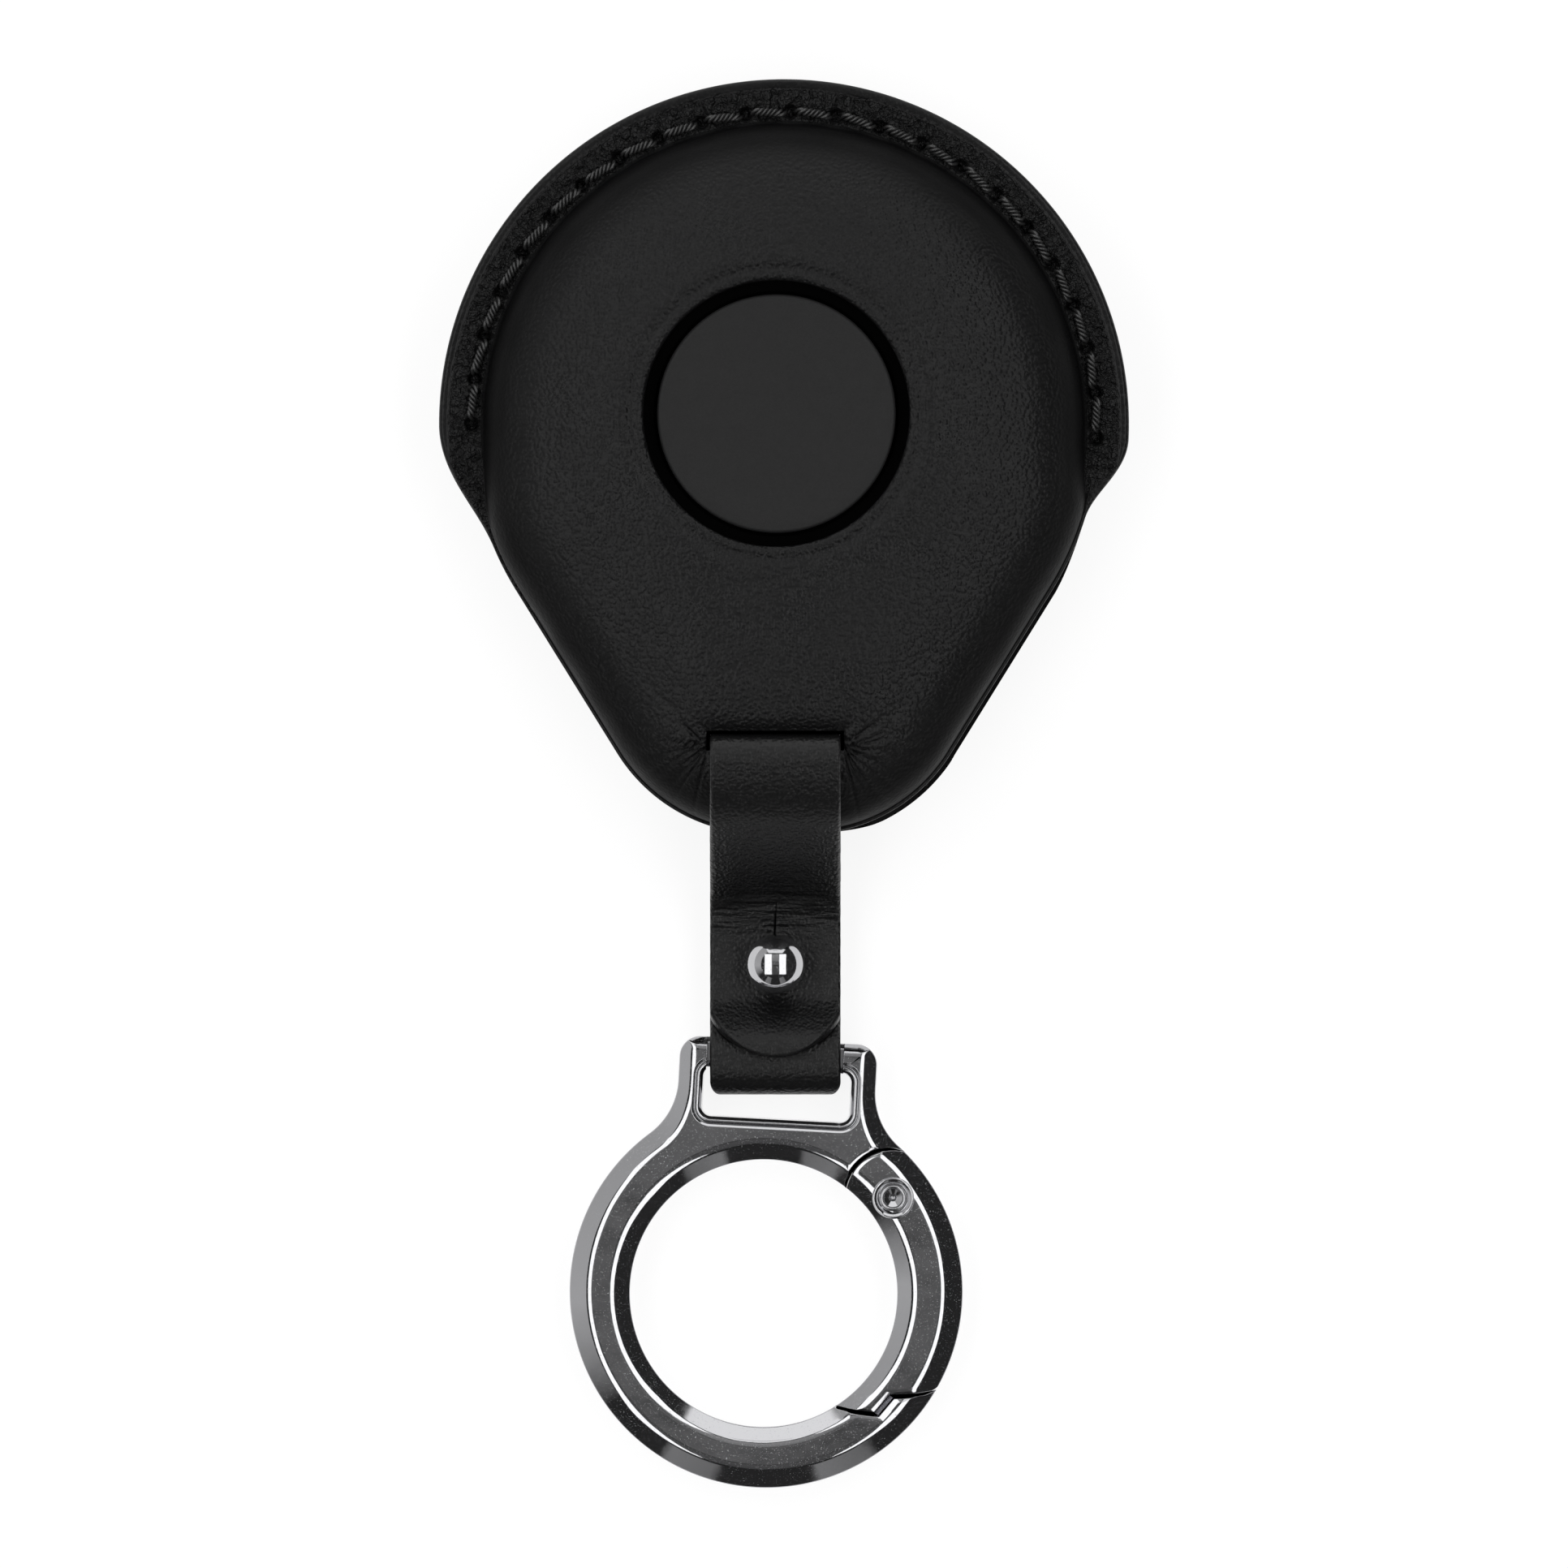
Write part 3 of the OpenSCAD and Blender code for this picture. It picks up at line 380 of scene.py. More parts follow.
class Outline:
    """Stations round the case: a centre, a radius, a direction and a share of the flange each."""

    def __init__(self, sizes, arc_steps, side_steps, corner_steps):
        self.sizes = sizes
        taper = math.hypot(sizes.tip_half, sizes.taper_length)
        lean = math.atan2(sizes.tip_half, sizes.taper_length)
        right = -math.asin((sizes.top_radius - sizes.tip_radius) / taper) + lean
        left = math.pi - right
        sweep = math.pi / 2 + right
        rows = []
        for i in range(arc_steps + 1):
            rows.append(self.top(right + (left - right) * i / arc_steps))
        left_start, left_end = self.top(left), self.corner(-1, left)
        for i in range(1, side_steps):
            rows.append(mix(left_start, left_end, i / side_steps))
        for i in range(corner_steps + 1):
            rows.append(self.corner(-1, left + sweep * i / corner_steps))
        for i in range(corner_steps + 1):
            rows.append(self.corner(1, 1.5 * math.pi + sweep * i / corner_steps))
        right_start, right_end = self.corner(1, 2 * math.pi + right), self.top(2 * math.pi + right)
        for i in range(1, side_steps):
            rows.append(mix(right_start, right_end, i / side_steps))
        table = np.array(rows)
        self.centre, self.radius, self.direction = table[:, 0:2], table[:, 2], table[:, 3]
        # The last stretch lies beyond a full turn, and has the same flange as a turn before
        self.share = self.flange_share(self.direction)
        self.outward = np.stack([np.cos(self.direction), np.sin(self.direction)], 1)
        self.count = len(rows)

    def top(self, a):
        return np.array([0, 0, self.sizes.top_radius, a])

    def corner(self, side, a):
        return np.array([side * self.sizes.tip_half, -self.sizes.taper_length, self.sizes.tip_radius, a])

    def flange_share(self, a):
        s = self.sizes
        a = np.where(a > 1.5 * math.pi, a - 2 * math.pi, a)
        right = np.clip((a - s.flange_right + s.runout_right) / s.runout_right, 0, 1)
        left = np.clip((s.flange_left + s.runout_left - a) / s.runout_left, 0, 1)
        on_top = self.radius >= s.top_radius * 0.999
        return (1 - np.cos(math.pi * right)) / 2 * (1 - np.cos(math.pi * left)) / 2 * on_top

    def edge(self):
        return (self.sizes.top_radius - self.sizes.flange_radius) * self.share

    def foot(self):
        return mix(self.sizes.foot_side, self.sizes.foot_flange, self.share)

    def spot(self, inset):
        return self.centre + (self.radius - inset)[:, None] * self.outward


# The window lies a little left of, and above, the centre of the case's round top
WINDOW_LEFT = 0.7 * MM
WINDOW_UP = 0.9 * MM
WINDOW = Vector(((button_low.x + button_high.x) / 2, (button_low.y + button_high.y) / 2))
CASE = Vector((WINDOW.x + WINDOW_LEFT, WINDOW.y - WINDOW_UP))
PARTING = front_low.z
FRONT_TOP = front_high.z
STRAP_X = (tab_low.x + tab_high.x) / 2
SLOT_DOWN = 29.1 * MM
SLOT_Y = CASE.y - SLOT_DOWN
SLOT_ROOM = 0.3 * MM
STRAP_HALF = 6 * MM
STRAP_HALF_T = 0.6 * MM
FRONT_END = math.radians(68)
BACK_END = math.radians(65)
WALL_START = math.radians(4.5)
# Rows of points across the flat of the flange
FLAT_ROWS = 27
STUD_X, STUD_Y = (stud_low.x + stud_high.x) / 2, (stud_low.y + stud_high.y) / 2
# Where the strap bends when it is flexed
FLEX_Y = STUD_Y + 3.5 * MM


def case_ring(outline, inset, z):
    """One ring of the case, at an inset and a height, in the row frame."""
    flat = outline.spot(inset)
    return np.column_stack([flat[:, 0] + CASE.x, flat[:, 1] + CASE.y, np.broadcast_to(z, outline.count)])


def toward_window(points, radius):
    """The points where lines from the given ones to the window's centre meet a circle round it."""
    centre = np.array([WINDOW.x, WINDOW.y])
    away = points[:, 0:2] - centre
    return centre + away * radius / np.linalg.norm(away, axis=1)[:, None]


def front_height(s, f, d=0):
    """Height of the front wall at an angle of its rounding and a depth in the leather."""
    shoulder = FRONT_TOP - s.front_crown
    rise = (shoulder - PARTING - s.leather) / math.sin(FRONT_END)
    if d == 0:
        return PARTING + s.leather + rise * math.sin(f)
    return PARTING + (rise + (s.leather - d) / math.sin(FRONT_END)) * math.sin(f)


def front_wall(s, outline, f, d=0):
    inset = outline.foot() + d + (s.front_round - d) * (1 - math.cos(f))
    return case_ring(outline, inset, front_height(s, f, d))


def front_crown(s, outline, t, radius, d=0):
    """A ring between the wall's shoulder and a circle round the window."""
    start = front_wall(s, outline, FRONT_END, d)
    end = toward_window(start, radius)
    rise = (FRONT_TOP - s.front_crown - PARTING - s.leather) / math.sin(FRONT_END)
    slope = rise * math.cos(FRONT_END) / (s.front_round * math.sin(FRONT_END))
    bend = np.clip(slope * np.linalg.norm(end - start[:, 0:2], axis=1) / s.front_crown, 1.4, 2.6)
    z = FRONT_TOP - s.front_crown - d + s.front_crown * (1 - (1 - t) ** bend)
    return np.column_stack([mix(start[:, 0:2], end, t), z])


def window_ring(s, outline, radius, z):
    flat = toward_window(front_wall(s, outline, FRONT_END), radius)
    return np.column_stack([flat, np.full(outline.count, z)])


def back_wall(s, outline, f, d=0):
    inset = outline.foot() + d + (s.back_round - d) * (1 - math.cos(f))
    drop = (PARTING - s.leather - s.back_crown) / math.sin(BACK_END)
    if d == 0:
        z = PARTING - s.leather - drop * math.sin(f)
    else:
        z = PARTING - (drop + (s.leather - d) / math.sin(BACK_END)) * math.sin(f)
    return case_ring(outline, inset, z)


def back_crown(s, outline, t, d=0):
    inset = mix(outline.foot() + d + (s.back_round - d) * (1 - math.cos(BACK_END)), s.flat_inset, t)
    return case_ring(outline, inset, d + s.back_crown * (1 - t) ** 1.4)


def seam_places(s):
    """Directions of the needle holes round the top."""
    return [mix(s.flange_right, s.flange_left, i / s.stitches) for i in range(s.stitches + 1)]


def surface_normals(grid):
    """Normals of a closed grid of rows and columns of points."""
    down = np.roll(grid, -1, 0) - np.roll(grid, 1, 0)
    across = np.roll(grid, -1, 1) - np.roll(grid, 1, 1)
    n = np.cross(across, down)
    return n / np.maximum(np.linalg.norm(n, axis=2), 1e-12)[:, :, None]


def ridges(p, size, seed, width=0.12):
    """Fine cracks between cells, from 0 on a cell to 1 in a crack."""
    v = Vector((p[0] / size, p[1] / size, p[2] / size + seed))
    warp = noise.noise_vector(v * 0.8) * 0.45
    near = noise.voronoi(v + warp)[0]
    return 1 - min(1, (near[1] - near[0]) / width)


def ripple(u, v, seed):
    """Smooth noise between -1 and 1 from two coordinates."""
    return noise.noise(Vector((u, v, seed)))


def slot_pucker(x, y, top):
    """How far the leather sinks round a strap slot, with short folds fanning out of its corners."""
    sink_deep, fold_deep = 0.62 * MM, 0.85 * MM
    half = STRAP_HALF + SLOT_ROOM
    dx = max(0, abs(x - STRAP_X) - half)
    dy = max(0, abs(y - SLOT_Y) - STRAP_HALF_T - SLOT_ROOM)
    sink = -sink_deep * math.exp(-math.hypot(dx, dy) / (0.75 * MM))
    for side in (-1, 1):
        cx, cy = STRAP_X + side * half, SLOT_Y - STRAP_HALF_T
        reach = math.hypot(x - cx, y - cy)
        turn = math.atan2(y - cy, (x - cx) * side)
        if -1.5 < turn < 0.9:
            fan = smoothstep(0.0, 0.28, abs(ripple(turn * 3.6, reach / (8 * MM), 3.1 + side + top)))
            fade = math.exp(-reach / (2.2 * MM)) * smoothstep(0.2 * MM, 1.1 * MM, reach)
            sink -= fold_deep * (1 - fan) * fade
    return sink


def cut(obj, solid):
    """Takes a closed solid away."""
    boolean(obj, "DIFFERENCE", *solid)


def flange_relief(s, outline, grid, rows, sign):
    """Cracked grain, needle holes and the pull of the thread on the rows of a flange face."""
    crack_size, small_size, lump_size = 1.25 * MM, 0.6 * MM, 0.7 * MM
    crack_deep, lump_deep, thread_deep, hole_deep = 0.36 * MM, 0.07 * MM, 0.14 * MM, 1.0 * MM
    groove_in, groove_deep = 0.92 * MM, 0.09 * MM
    # Without a seed, the cracks would follow the clock and lie elsewhere at each run
    noise.seed_set(7)
    holes = np.array([[CASE.x, CASE.y] + s.seam_radius * unit_at(a) for a in seam_places(s)])
    for j in rows:
        for i in np.nonzero(outline.share > 0.02)[0]:
            p = grid[j, i]
            share = outline.share[i]
            reach = math.hypot(p[0] - CASE.x, p[1] - CASE.y)
            beyond = s.flange_radius - reach
            inner = float(smoothstep(0.8 * MM, 1.15 * MM, beyond)) * share
            turn = math.atan2(p[1] - CASE.y, p[0] - CASE.x) * s.flange_radius
            crack = ridges((turn, reach * 0.45, 0), crack_size, 2.0, 0.22)
            crack += ridges(p, small_size, 5.0, 0.2) * 0.2
            lump = ripple(p[0] / lump_size, p[1] / lump_size, 8.0)
            depth = inner * (lump_deep * lump - crack_deep * crack)
            depth -= thread_deep * share * math.exp(-((reach - s.seam_radius) / (0.5 * MM)) ** 2)
            depth -= groove_deep * share * math.exp(-((beyond - groove_in) / (0.1 * MM)) ** 2)
            near = np.hypot(holes[:, 0] - p[0], holes[:, 1] - p[1]).min()
            depth -= hole_deep * float(1 - smoothstep(0.4 * MM, 0.76 * MM, near))
            grid[j, i, 2] += sign * depth


def store(obj, name, values):
    """Keeps one number per vertex for the material."""
    attribute = obj.data.attributes.new(name, "FLOAT", "POINT")
    attribute.data.foreach_set("value", np.asarray(values, np.float32))


def shell_attributes(obj, s, rise):
    """Marks the flange, the walls and the edge-painted rim of a shell, which rises so far from the parting. The
    material paints the walls darker, as painted shade.
    """
    co = points_of(obj.data)
    reach = np.hypot(co[:, 0] - CASE.x, co[:, 1] - CASE.y)
    height = np.abs(co[:, 2] - PARTING)
    direction = np.arctan2(co[:, 1] - CASE.y, co[:, 0] - CASE.x)
    top_side = smoothstep(-0.35, -0.1, direction) + (direction < -2.5)
    on_flange = (height < s.leather * 1.25) * top_side * smoothstep(27.6 * MM, 28.1 * MM, reach)
    rim = smoothstep(s.flange_radius - 1.0 * MM, s.flange_radius - 0.85 * MM, reach) * top_side
    rim = np.maximum(rim, (height < s.leather) * (1 - on_flange))
    up = height / rise
    off_seam = (reach < 27.95 * MM) | (top_side < 0.5) | (up > 0.2)
    # The walls: the material paints them darker, as painted shade, and gives them less sheen and grain
    wall = (height > s.leather * 1.004) * off_seam * (1 - smoothstep(0.5, 0.8, up))
    store(obj, "flange", np.clip(on_flange * (1 - rim), 0, 1))
    store(obj, "rim", np.clip(rim, 0, 1))
    store(obj, "wall", np.clip(wall, 0, 1))


def proud_edge(outline):
    """Extra width of the back shell's edge, which shows past the front one on the lower right."""
    a = np.where(outline.direction > 1.5 * math.pi, outline.direction - 2 * math.pi, outline.direction)
    return -0.42 * MM * smoothstep(-1.45, -1.1, a) * (1 - smoothstep(-0.62, -0.32, a))


def cut_slot(obj, low, high, room):
    """Takes the strap's slot out of a shell, with room round the strap."""
    half = STRAP_HALF + room
    deep = STRAP_HALF_T + room
    cut(obj, block((STRAP_X - half, SLOT_Y - deep, low), (STRAP_X + half, SLOT_Y + deep, high)))


class Flange:
    """The rim of a shell, facing up at sign 1 and down at -1, from its edge to its foot at the wall."""

    def __init__(self, s, outline, edge, sign):
        self.outline, self.edge, self.foot, self.sign = outline, edge, outline.foot(), sign
        self.face = PARTING + sign * s.leather
        self.edge_r = np.minimum(0.42 * MM, (self.foot - edge) * 0.6)
        self.foot_r = np.minimum(0.45 * MM, (self.foot - edge) * 0.3)

    def side(self, z):
        return case_ring(self.outline, self.edge, z)

    def edge_rounding(self, a):
        """From the side at 0 to the face at a quarter turn."""
        inset = self.edge + self.edge_r * (1 - math.cos(a))
        return case_ring(self.outline, inset, self.face - self.sign * self.edge_r * (1 - math.sin(a)))

    def flat(self, t):
        """The face, from its edge at 0 to the wall at 1."""
        return case_ring(self.outline, mix(self.edge + self.edge_r, self.foot - self.foot_r, t), self.face)

    def foot_rounding(self, u):
        """From the face at 0 up to the wall at 1."""
        up = self.foot_r * (1 - math.sqrt(1 - u * u))
        return case_ring(self.outline, self.foot - self.foot_r * (1 - u), self.face + self.sign * up)


def near_slot(p):
    """Whether a point is near enough to a strap slot to be drawn into its folds."""
    return abs(p[0] - STRAP_X) < 14 * MM and p[1] < SLOT_Y + 9 * MM


def build_front_shell(s, material):
    outline = Outline(s, 880, 60, 110)
    n = outline.count
    flange = Flange(s, outline, outline.edge(), 1)
    top = flange.face
    rows = [flange.side(PARTING), flange.side(PARTING + s.leather * 0.4)]
    rows += [flange.edge_rounding(a) for a in quarter(5)]
    flange_first = len(rows)
    rows += [flange.flat(i / FLAT_ROWS) for i in range(1, FLAT_ROWS + 1)]
    flange_last = len(rows)
    rows += [flange.foot_rounding(i / 4) for i in range(1, 4)]
    wall_first = len(rows)
    wall_rows = 26
    rows += [front_wall(s, outline, mix(WALL_START, FRONT_END, i / wall_rows)) for i in range(wall_rows + 1)]
    dip_end = s.window_radius + 1.75 * MM
    crown_rows = 70
    rows += [front_crown(s, outline, (i / crown_rows) ** 1.5, dip_end) for i in range(1, crown_rows + 1)]
    # How far out of the window, and how far under the top, in millimetres
    lip = [(1.5, -0.05), (1.25, -0.13), (1.05, -0.12), (0.85, -0.03), (0.65, 0.02), (0.45, 0.02),
           (0.28, -0.02), (0.13, -0.1), (0.04, -0.22), (0, -0.38), (0, -0.8), (0, -1.2)]
    rows += [window_ring(s, outline, s.window_radius + off * MM, FRONT_TOP + drop * MM) for off, drop in lip]
    lip_last = len(rows) - 6
    rows += [front_crown(s, outline, t, dip_end, s.leather) for t in (0.8, 0.6, 0.4, 0.2)]
    rows += [front_wall(s, outline, FRONT_END * (1 - i / 8), s.leather) for i in range(9)]
    grid = np.array(rows)
    normals = surface_normals(grid)
    bump_at, bump_high, soft_high = 14.6 * MM, 0.1 * MM, 0.05 * MM
    crease_high, shoulder_deep = 0.09 * MM, 0.1 * MM
    for j in range(wall_first, lip_last):
        for i in range(n):
            p = grid[j, i]
            a = outline.direction[i]
            share = outline.share[i]
            reach = math.hypot(p[0] - WINDOW.x, p[1] - WINDOW.y)
            ring_bump = bump_high * math.exp(-((reach - bump_at) / (0.75 * MM)) ** 2)
            soft = soft_high * ripple(p[0] / (7 * MM), p[1] / (7 * MM), 1.0)
            low = 1 - min(1, (p[2] - top) / (4.5 * MM))
            crease = 0
            if low > 0 and share > 0.05:
                crease = ripple(a * 6, p[2] / (0.55 * MM), 4.0) * low * crease_high * share
            shoulder = math.exp(-((a - 0.95) / 0.3) ** 2) * math.exp(-((p[2] - 13.5 * MM) / (2.2 * MM)) ** 2)
            crease -= shoulder * shoulder_deep * abs(ripple(a * 9, p[2] / (1.2 * MM), 9.0))
            grid[j, i] += normals[j, i] * (ring_bump + soft + crease)
            if near_slot(p) and p[2] > top + 1 * MM:
                grid[j, i] += normals[j, i] * slot_pucker(p[0], p[1], 0)
    flange_relief(s, outline, grid, range(flange_first - 1, flange_last), 1)
    faces = grid_faces(len(rows), n, close_rows=True, close_cols=True)
    obj = make_object("front_shell_leather", grid.reshape(-1, 3), faces, material, None, "shell_leather",
                      "front_shell")
    cut_slot(obj, PARTING + s.leather, FRONT_TOP + 1 * MM, SLOT_ROOM)
    finish_piece(obj, "case")
    shell_attributes(obj, s, FRONT_TOP - PARTING)


def finish_piece(obj, body):
    """Smooth shading, and the body that the piece rides on."""
    obj.data.shade_smooth()
    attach(obj, body)


def build_back_shell(s, material):
    outline = Outline(s, 880, 60, 110)
    n = outline.count
    flange = Flange(s, outline, outline.edge() + proud_edge(outline), -1)
    middle = case_ring(outline, s.flat_inset, 0)
    centre = middle.mean(0)
    rows = [mix(centre, middle, t) for t in (0.04, 0.2, 0.4, 0.6, 0.8)]
    relief_first = len(rows)
    rows += [back_crown(s, outline, 1 - i / 16) for i in range(17)]
    wall_rows = 22
    rows += [back_wall(s, outline, mix(BACK_END, WALL_START, i / wall_rows)) for i in range(1, wall_rows + 1)]
    rows += [flange.foot_rounding(1 - i / 4) for i in range(1, 4)]
    flange_first = len(rows)
    rows += [flange.flat(1 - i / FLAT_ROWS) for i in range(FLAT_ROWS + 1)]
    flange_last = len(rows)
    rows += [flange.edge_rounding(a) for a in quarter(5)[-2::-1]]
    rows += [flange.side(PARTING - s.leather * 0.4), flange.side(PARTING)]
    rows += [back_wall(s, outline, BACK_END * i / 8, s.leather) for i in range(9)]
    rows += [back_crown(s, outline, t, s.leather) for t in (0.3, 0.65, 1)]
    inside = np.array([0, 0, s.leather])
    rows += [mix(centre, middle, t) + inside for t in (0.5, 0.04)]
    grid = np.array(rows)
    normals = surface_normals(grid)
    soft_high, crease_high = 0.04 * MM, 0.05 * MM
    for j in range(relief_first, flange_first):
        for i in range(n):
            p = grid[j, i]
            soft = soft_high * ripple(p[0] / (6 * MM), p[1] / (6 * MM), 21.0)
            lift = min(1, p[2] / (1.2 * MM))
            crease = ripple(outline.direction[i] * 6, p[2] / (0.6 * MM), 24.0) * crease_high * outline.share[i]
            grid[j, i] -= normals[j, i] * (soft + crease) * lift
            if near_slot(p):
                grid[j, i] += normals[j, i] * slot_pucker(p[0], p[1], 7) * 0.7 * lift
    flange_relief(s, outline, grid, range(flange_first, flange_last), -1)
    total = len(rows) * n
    verts = np.vstack([grid.reshape(-1, 3), centre, centre + inside])
    faces = grid_faces(len(rows), n, close_cols=True)
    last = total - n
    for i in range(n):
        faces.append((total, (i + 1) % n, i))
        faces.append((total + 1, last + i, last + (i + 1) % n))
    obj = make_object("back_shell_leather", verts, faces, material, None, "shell_leather", "back_shell")
    cut_slot(obj, -1 * MM, PARTING - s.leather, -0.06 * MM)
    finish_piece(obj, "case")
    shell_attributes(obj, s, PARTING)


# Seam

def ply_tube(path, radius, helix_r, turns, phase, sides):
    """One ply of twisted thread round a path of points."""
    count = len(path)
    tangent = directions(path)
    side = np.cross(tangent, np.array([0, 0, 1.0]))
    side /= np.maximum(np.linalg.norm(side, axis=1), 1e-9)[:, None]
    over = np.cross(side, tangent)
    verts = []
    for k in range(count):
        a = phase + 2 * math.pi * turns * k / (count - 1)
        c = path[k] + helix_r * (math.cos(a) * side[k] + math.sin(a) * over[k])
        for m in range(sides):
            b = 2 * math.pi * m / sides
            verts.append(c + radius * (math.cos(b) * side[k] + math.sin(b) * over[k]))
    return verts, [f[::-1] for f in tube_faces(count, sides)]


def tube_faces(rows, cols):
    """Faces of a tube of rows, closed at both ends."""
    return grid_faces(rows, cols, close_cols=True) + [
        tuple(range(cols - 1, -1, -1)), tuple(range((rows - 1) * cols, rows * cols))]


def build_seam(s, material):
    """Twisted stitches that dip into their holes, on both faces of the flange."""
    verts, faces = [], []
    places = seam_places(s)
    steps = 26
    rise_high, dip_deep = 0.2 * MM, 1.15 * MM
    plies, twists, sides = 3, 2.4, 7
    for sign in (1, -1):
        face_z = PARTING + sign * s.leather
        for k in range(s.stitches):
            slant = 0.13 * MM + 0.05 * MM * math.sin(k * 2.3)
            path = []
            for j in range(steps + 1):
                u = j / steps
                a = mix(places[k], places[k + 1], mix(0.15, 0.85, u))
                r = s.seam_radius + slant * (2 * u - 1)
                rise = rise_high - dip_deep * ((2 * u - 1) ** 6)
                z = face_z + sign * (rise + 0.03 * MM * math.sin(k * 1.7))
                path.append((CASE.x + r * math.cos(a), CASE.y + r * math.sin(a), z))
            for ply in range(plies):
                phase = ply * 2 * math.pi / plies + k
                v, f = ply_tube(np.array(path), s.thread * 0.47, s.thread * 0.6, twists, phase, sides)
                start = len(verts)
                verts.extend(v)
                faces.extend(tuple(start + q for q in face) for face in f)
    make_object("seam_stitches", verts, faces, material, "case", "thread", "seam_thread")


# Strap

def strap_path(case, strap):
    """Centre line of the whole strap as points (y, z), from the tab's end to the tongue's end."""
    t = strap.thickness
    seat = 0.05 * MM
    ring_z = (ring_low.z + ring_high.z) / 2
    tab_z = tab_low.z + t / 2
    tongue_z = t + seat + t / 2
    fold_r = ring_z - t / 2
    fold_y = tail_low.y + fold_r + t / 2
    fold_top = ring_z + fold_r
    ramp_start = fold_y + t
    ramp_end = STUD_Y - 2.6 * MM
    tip_y = CASE.y - case.taper_length - case.tip_radius
    turn_y = SLOT_Y - strap.slot_bend
    leg_off = t / 2 + 3 * seat
    # The front leg leaves the case's wall at this angle of the wall's rounding
    leave = math.radians(30)

    def ramp(y):
        return mix(fold_top, tongue_z, float(smoothstep(ramp_start, ramp_end, y)))

    def tab_over(y):
        u = min(1, max(0, (ramp_start + t - y) / (2 * t)))
        return mix(tab_z - tongue_z, t + 2 * seat, (1 - math.cos(math.pi * u)) / 2)

    def level(a, b, z, n):
        return [(mix(a, b, i / n), z) for i in range(1, n + 1)]

    def arc(cy, cz, r, a, b, n):
        turns = [mix(a, b, i / n) for i in range(n + 1)]
        return [(cy + r * math.cos(turn), cz + r * math.sin(turn)) for turn in turns]

    def slope(f):
        rise = (FRONT_TOP - case.front_crown - PARTING - case.leather) / math.sin(FRONT_END)
        return math.atan(rise * math.cos(f) / (case.front_round * math.sin(f)))

    def leg(f):
        return (tip_y + case.foot_side + case.front_round * (1 - math.cos(f)) - leg_off * math.sin(slope(f)),
                front_height(case, f) + leg_off * math.cos(slope(f)))

    steep = slope(leave)
    first, last = leg(FRONT_END), leg(leave)
    turn_end = math.pi / 2 + slope(FRONT_END)
    turn_top = turn_y + strap.slot_bend * math.cos(turn_end)
    turn_z = first[1] + (turn_top - first[0]) * math.tan(turn_end - math.pi / 2)
    turn_z -= strap.slot_bend * math.sin(turn_end)
    bend_y = last[0] - (last[1] - tab_z) / math.tan(steep) - strap.leg_bend * math.tan(steep / 2)
    tab = [mix(tab_low.y, ramp_end, i / 60) for i in range(61)]
    tongue = [mix(ramp_start, ramp_end, i / 30) for i in range(31)]
    points = [(y, ramp(y) + tab_over(y)) for y in tab]
    points += level(ramp_end, bend_y, tab_z, 30)[:-1]
    points += arc(bend_y, tab_z + strap.leg_bend, strap.leg_bend, -math.pi / 2, steep - math.pi / 2, 14)
    points += [leg(mix(leave, FRONT_END, i / 20)) for i in range(21)]
    points += arc(turn_y, turn_z, strap.slot_bend, turn_end, 0, 12)
    points += arc(turn_y, t / 2 + strap.slot_bend, strap.slot_bend, 0, -math.pi / 2, 10)
    points += level(turn_y, fold_y, t / 2, 60)[:-1]
    points += arc(fold_y, ring_z, fold_r, 1.5 * math.pi, 0.5 * math.pi, 24)
    points += [(y, ramp(y)) for y in tongue]
    points += level(ramp_end, FLEX_Y - t / 2, tongue_z, 12)
    return np.array(points)


def resample(points, step):
    """Points at an even spacing along a line."""
    apart = np.linalg.norm(np.diff(points, axis=0), axis=1) > 1e-7
    points = points[np.concatenate([[True], apart])]
    along = distances(points)
    even = np.linspace(0, along[-1], int(along[-1] / step) + 1)
    return np.column_stack([np.interp(even, along, points[:, k]) for k in range(points.shape[1])])


def smooth_line(points, times):
    for _ in range(times):
        inner = (points[:-2] + 2 * points[1:-1] + points[2:]) / 4
        points = np.vstack([points[:1], inner, points[-1:]])
    return points


def strap_section(half_w, half_t, top_points):
    """Rounded cross-section of the strap: across and through, anticlockwise from the upper right."""
    r = min(0.32 * MM, half_w * 0.8, half_t * 0.8)
    flat, side = half_w - r, half_t - r
    turns = [(r * math.sin(a), r * math.cos(a)) for a in quarter(5)]
    points = [(mix(flat, -flat, i / top_points), half_t) for i in range(top_points + 1)]
    points += [(-flat - p, side + q) for p, q in turns[1:]]
    points += [(-flat - q, -side - p) for p, q in turns]
    points += [(mix(-flat, flat, i / top_points), -half_t) for i in range(1, top_points + 1)]
    points += [(flat + p, -side - q) for p, q in turns[1:]]
    points += [(flat + q, side + p) for p, q in turns[:-1]]
    return points


def near_crush(y):
    """How near a place is to the bend where the front leg comes down, whose leather is crushed."""
    return np.exp(-((y + 11.8 * MM) / (2.2 * MM)) ** 2)


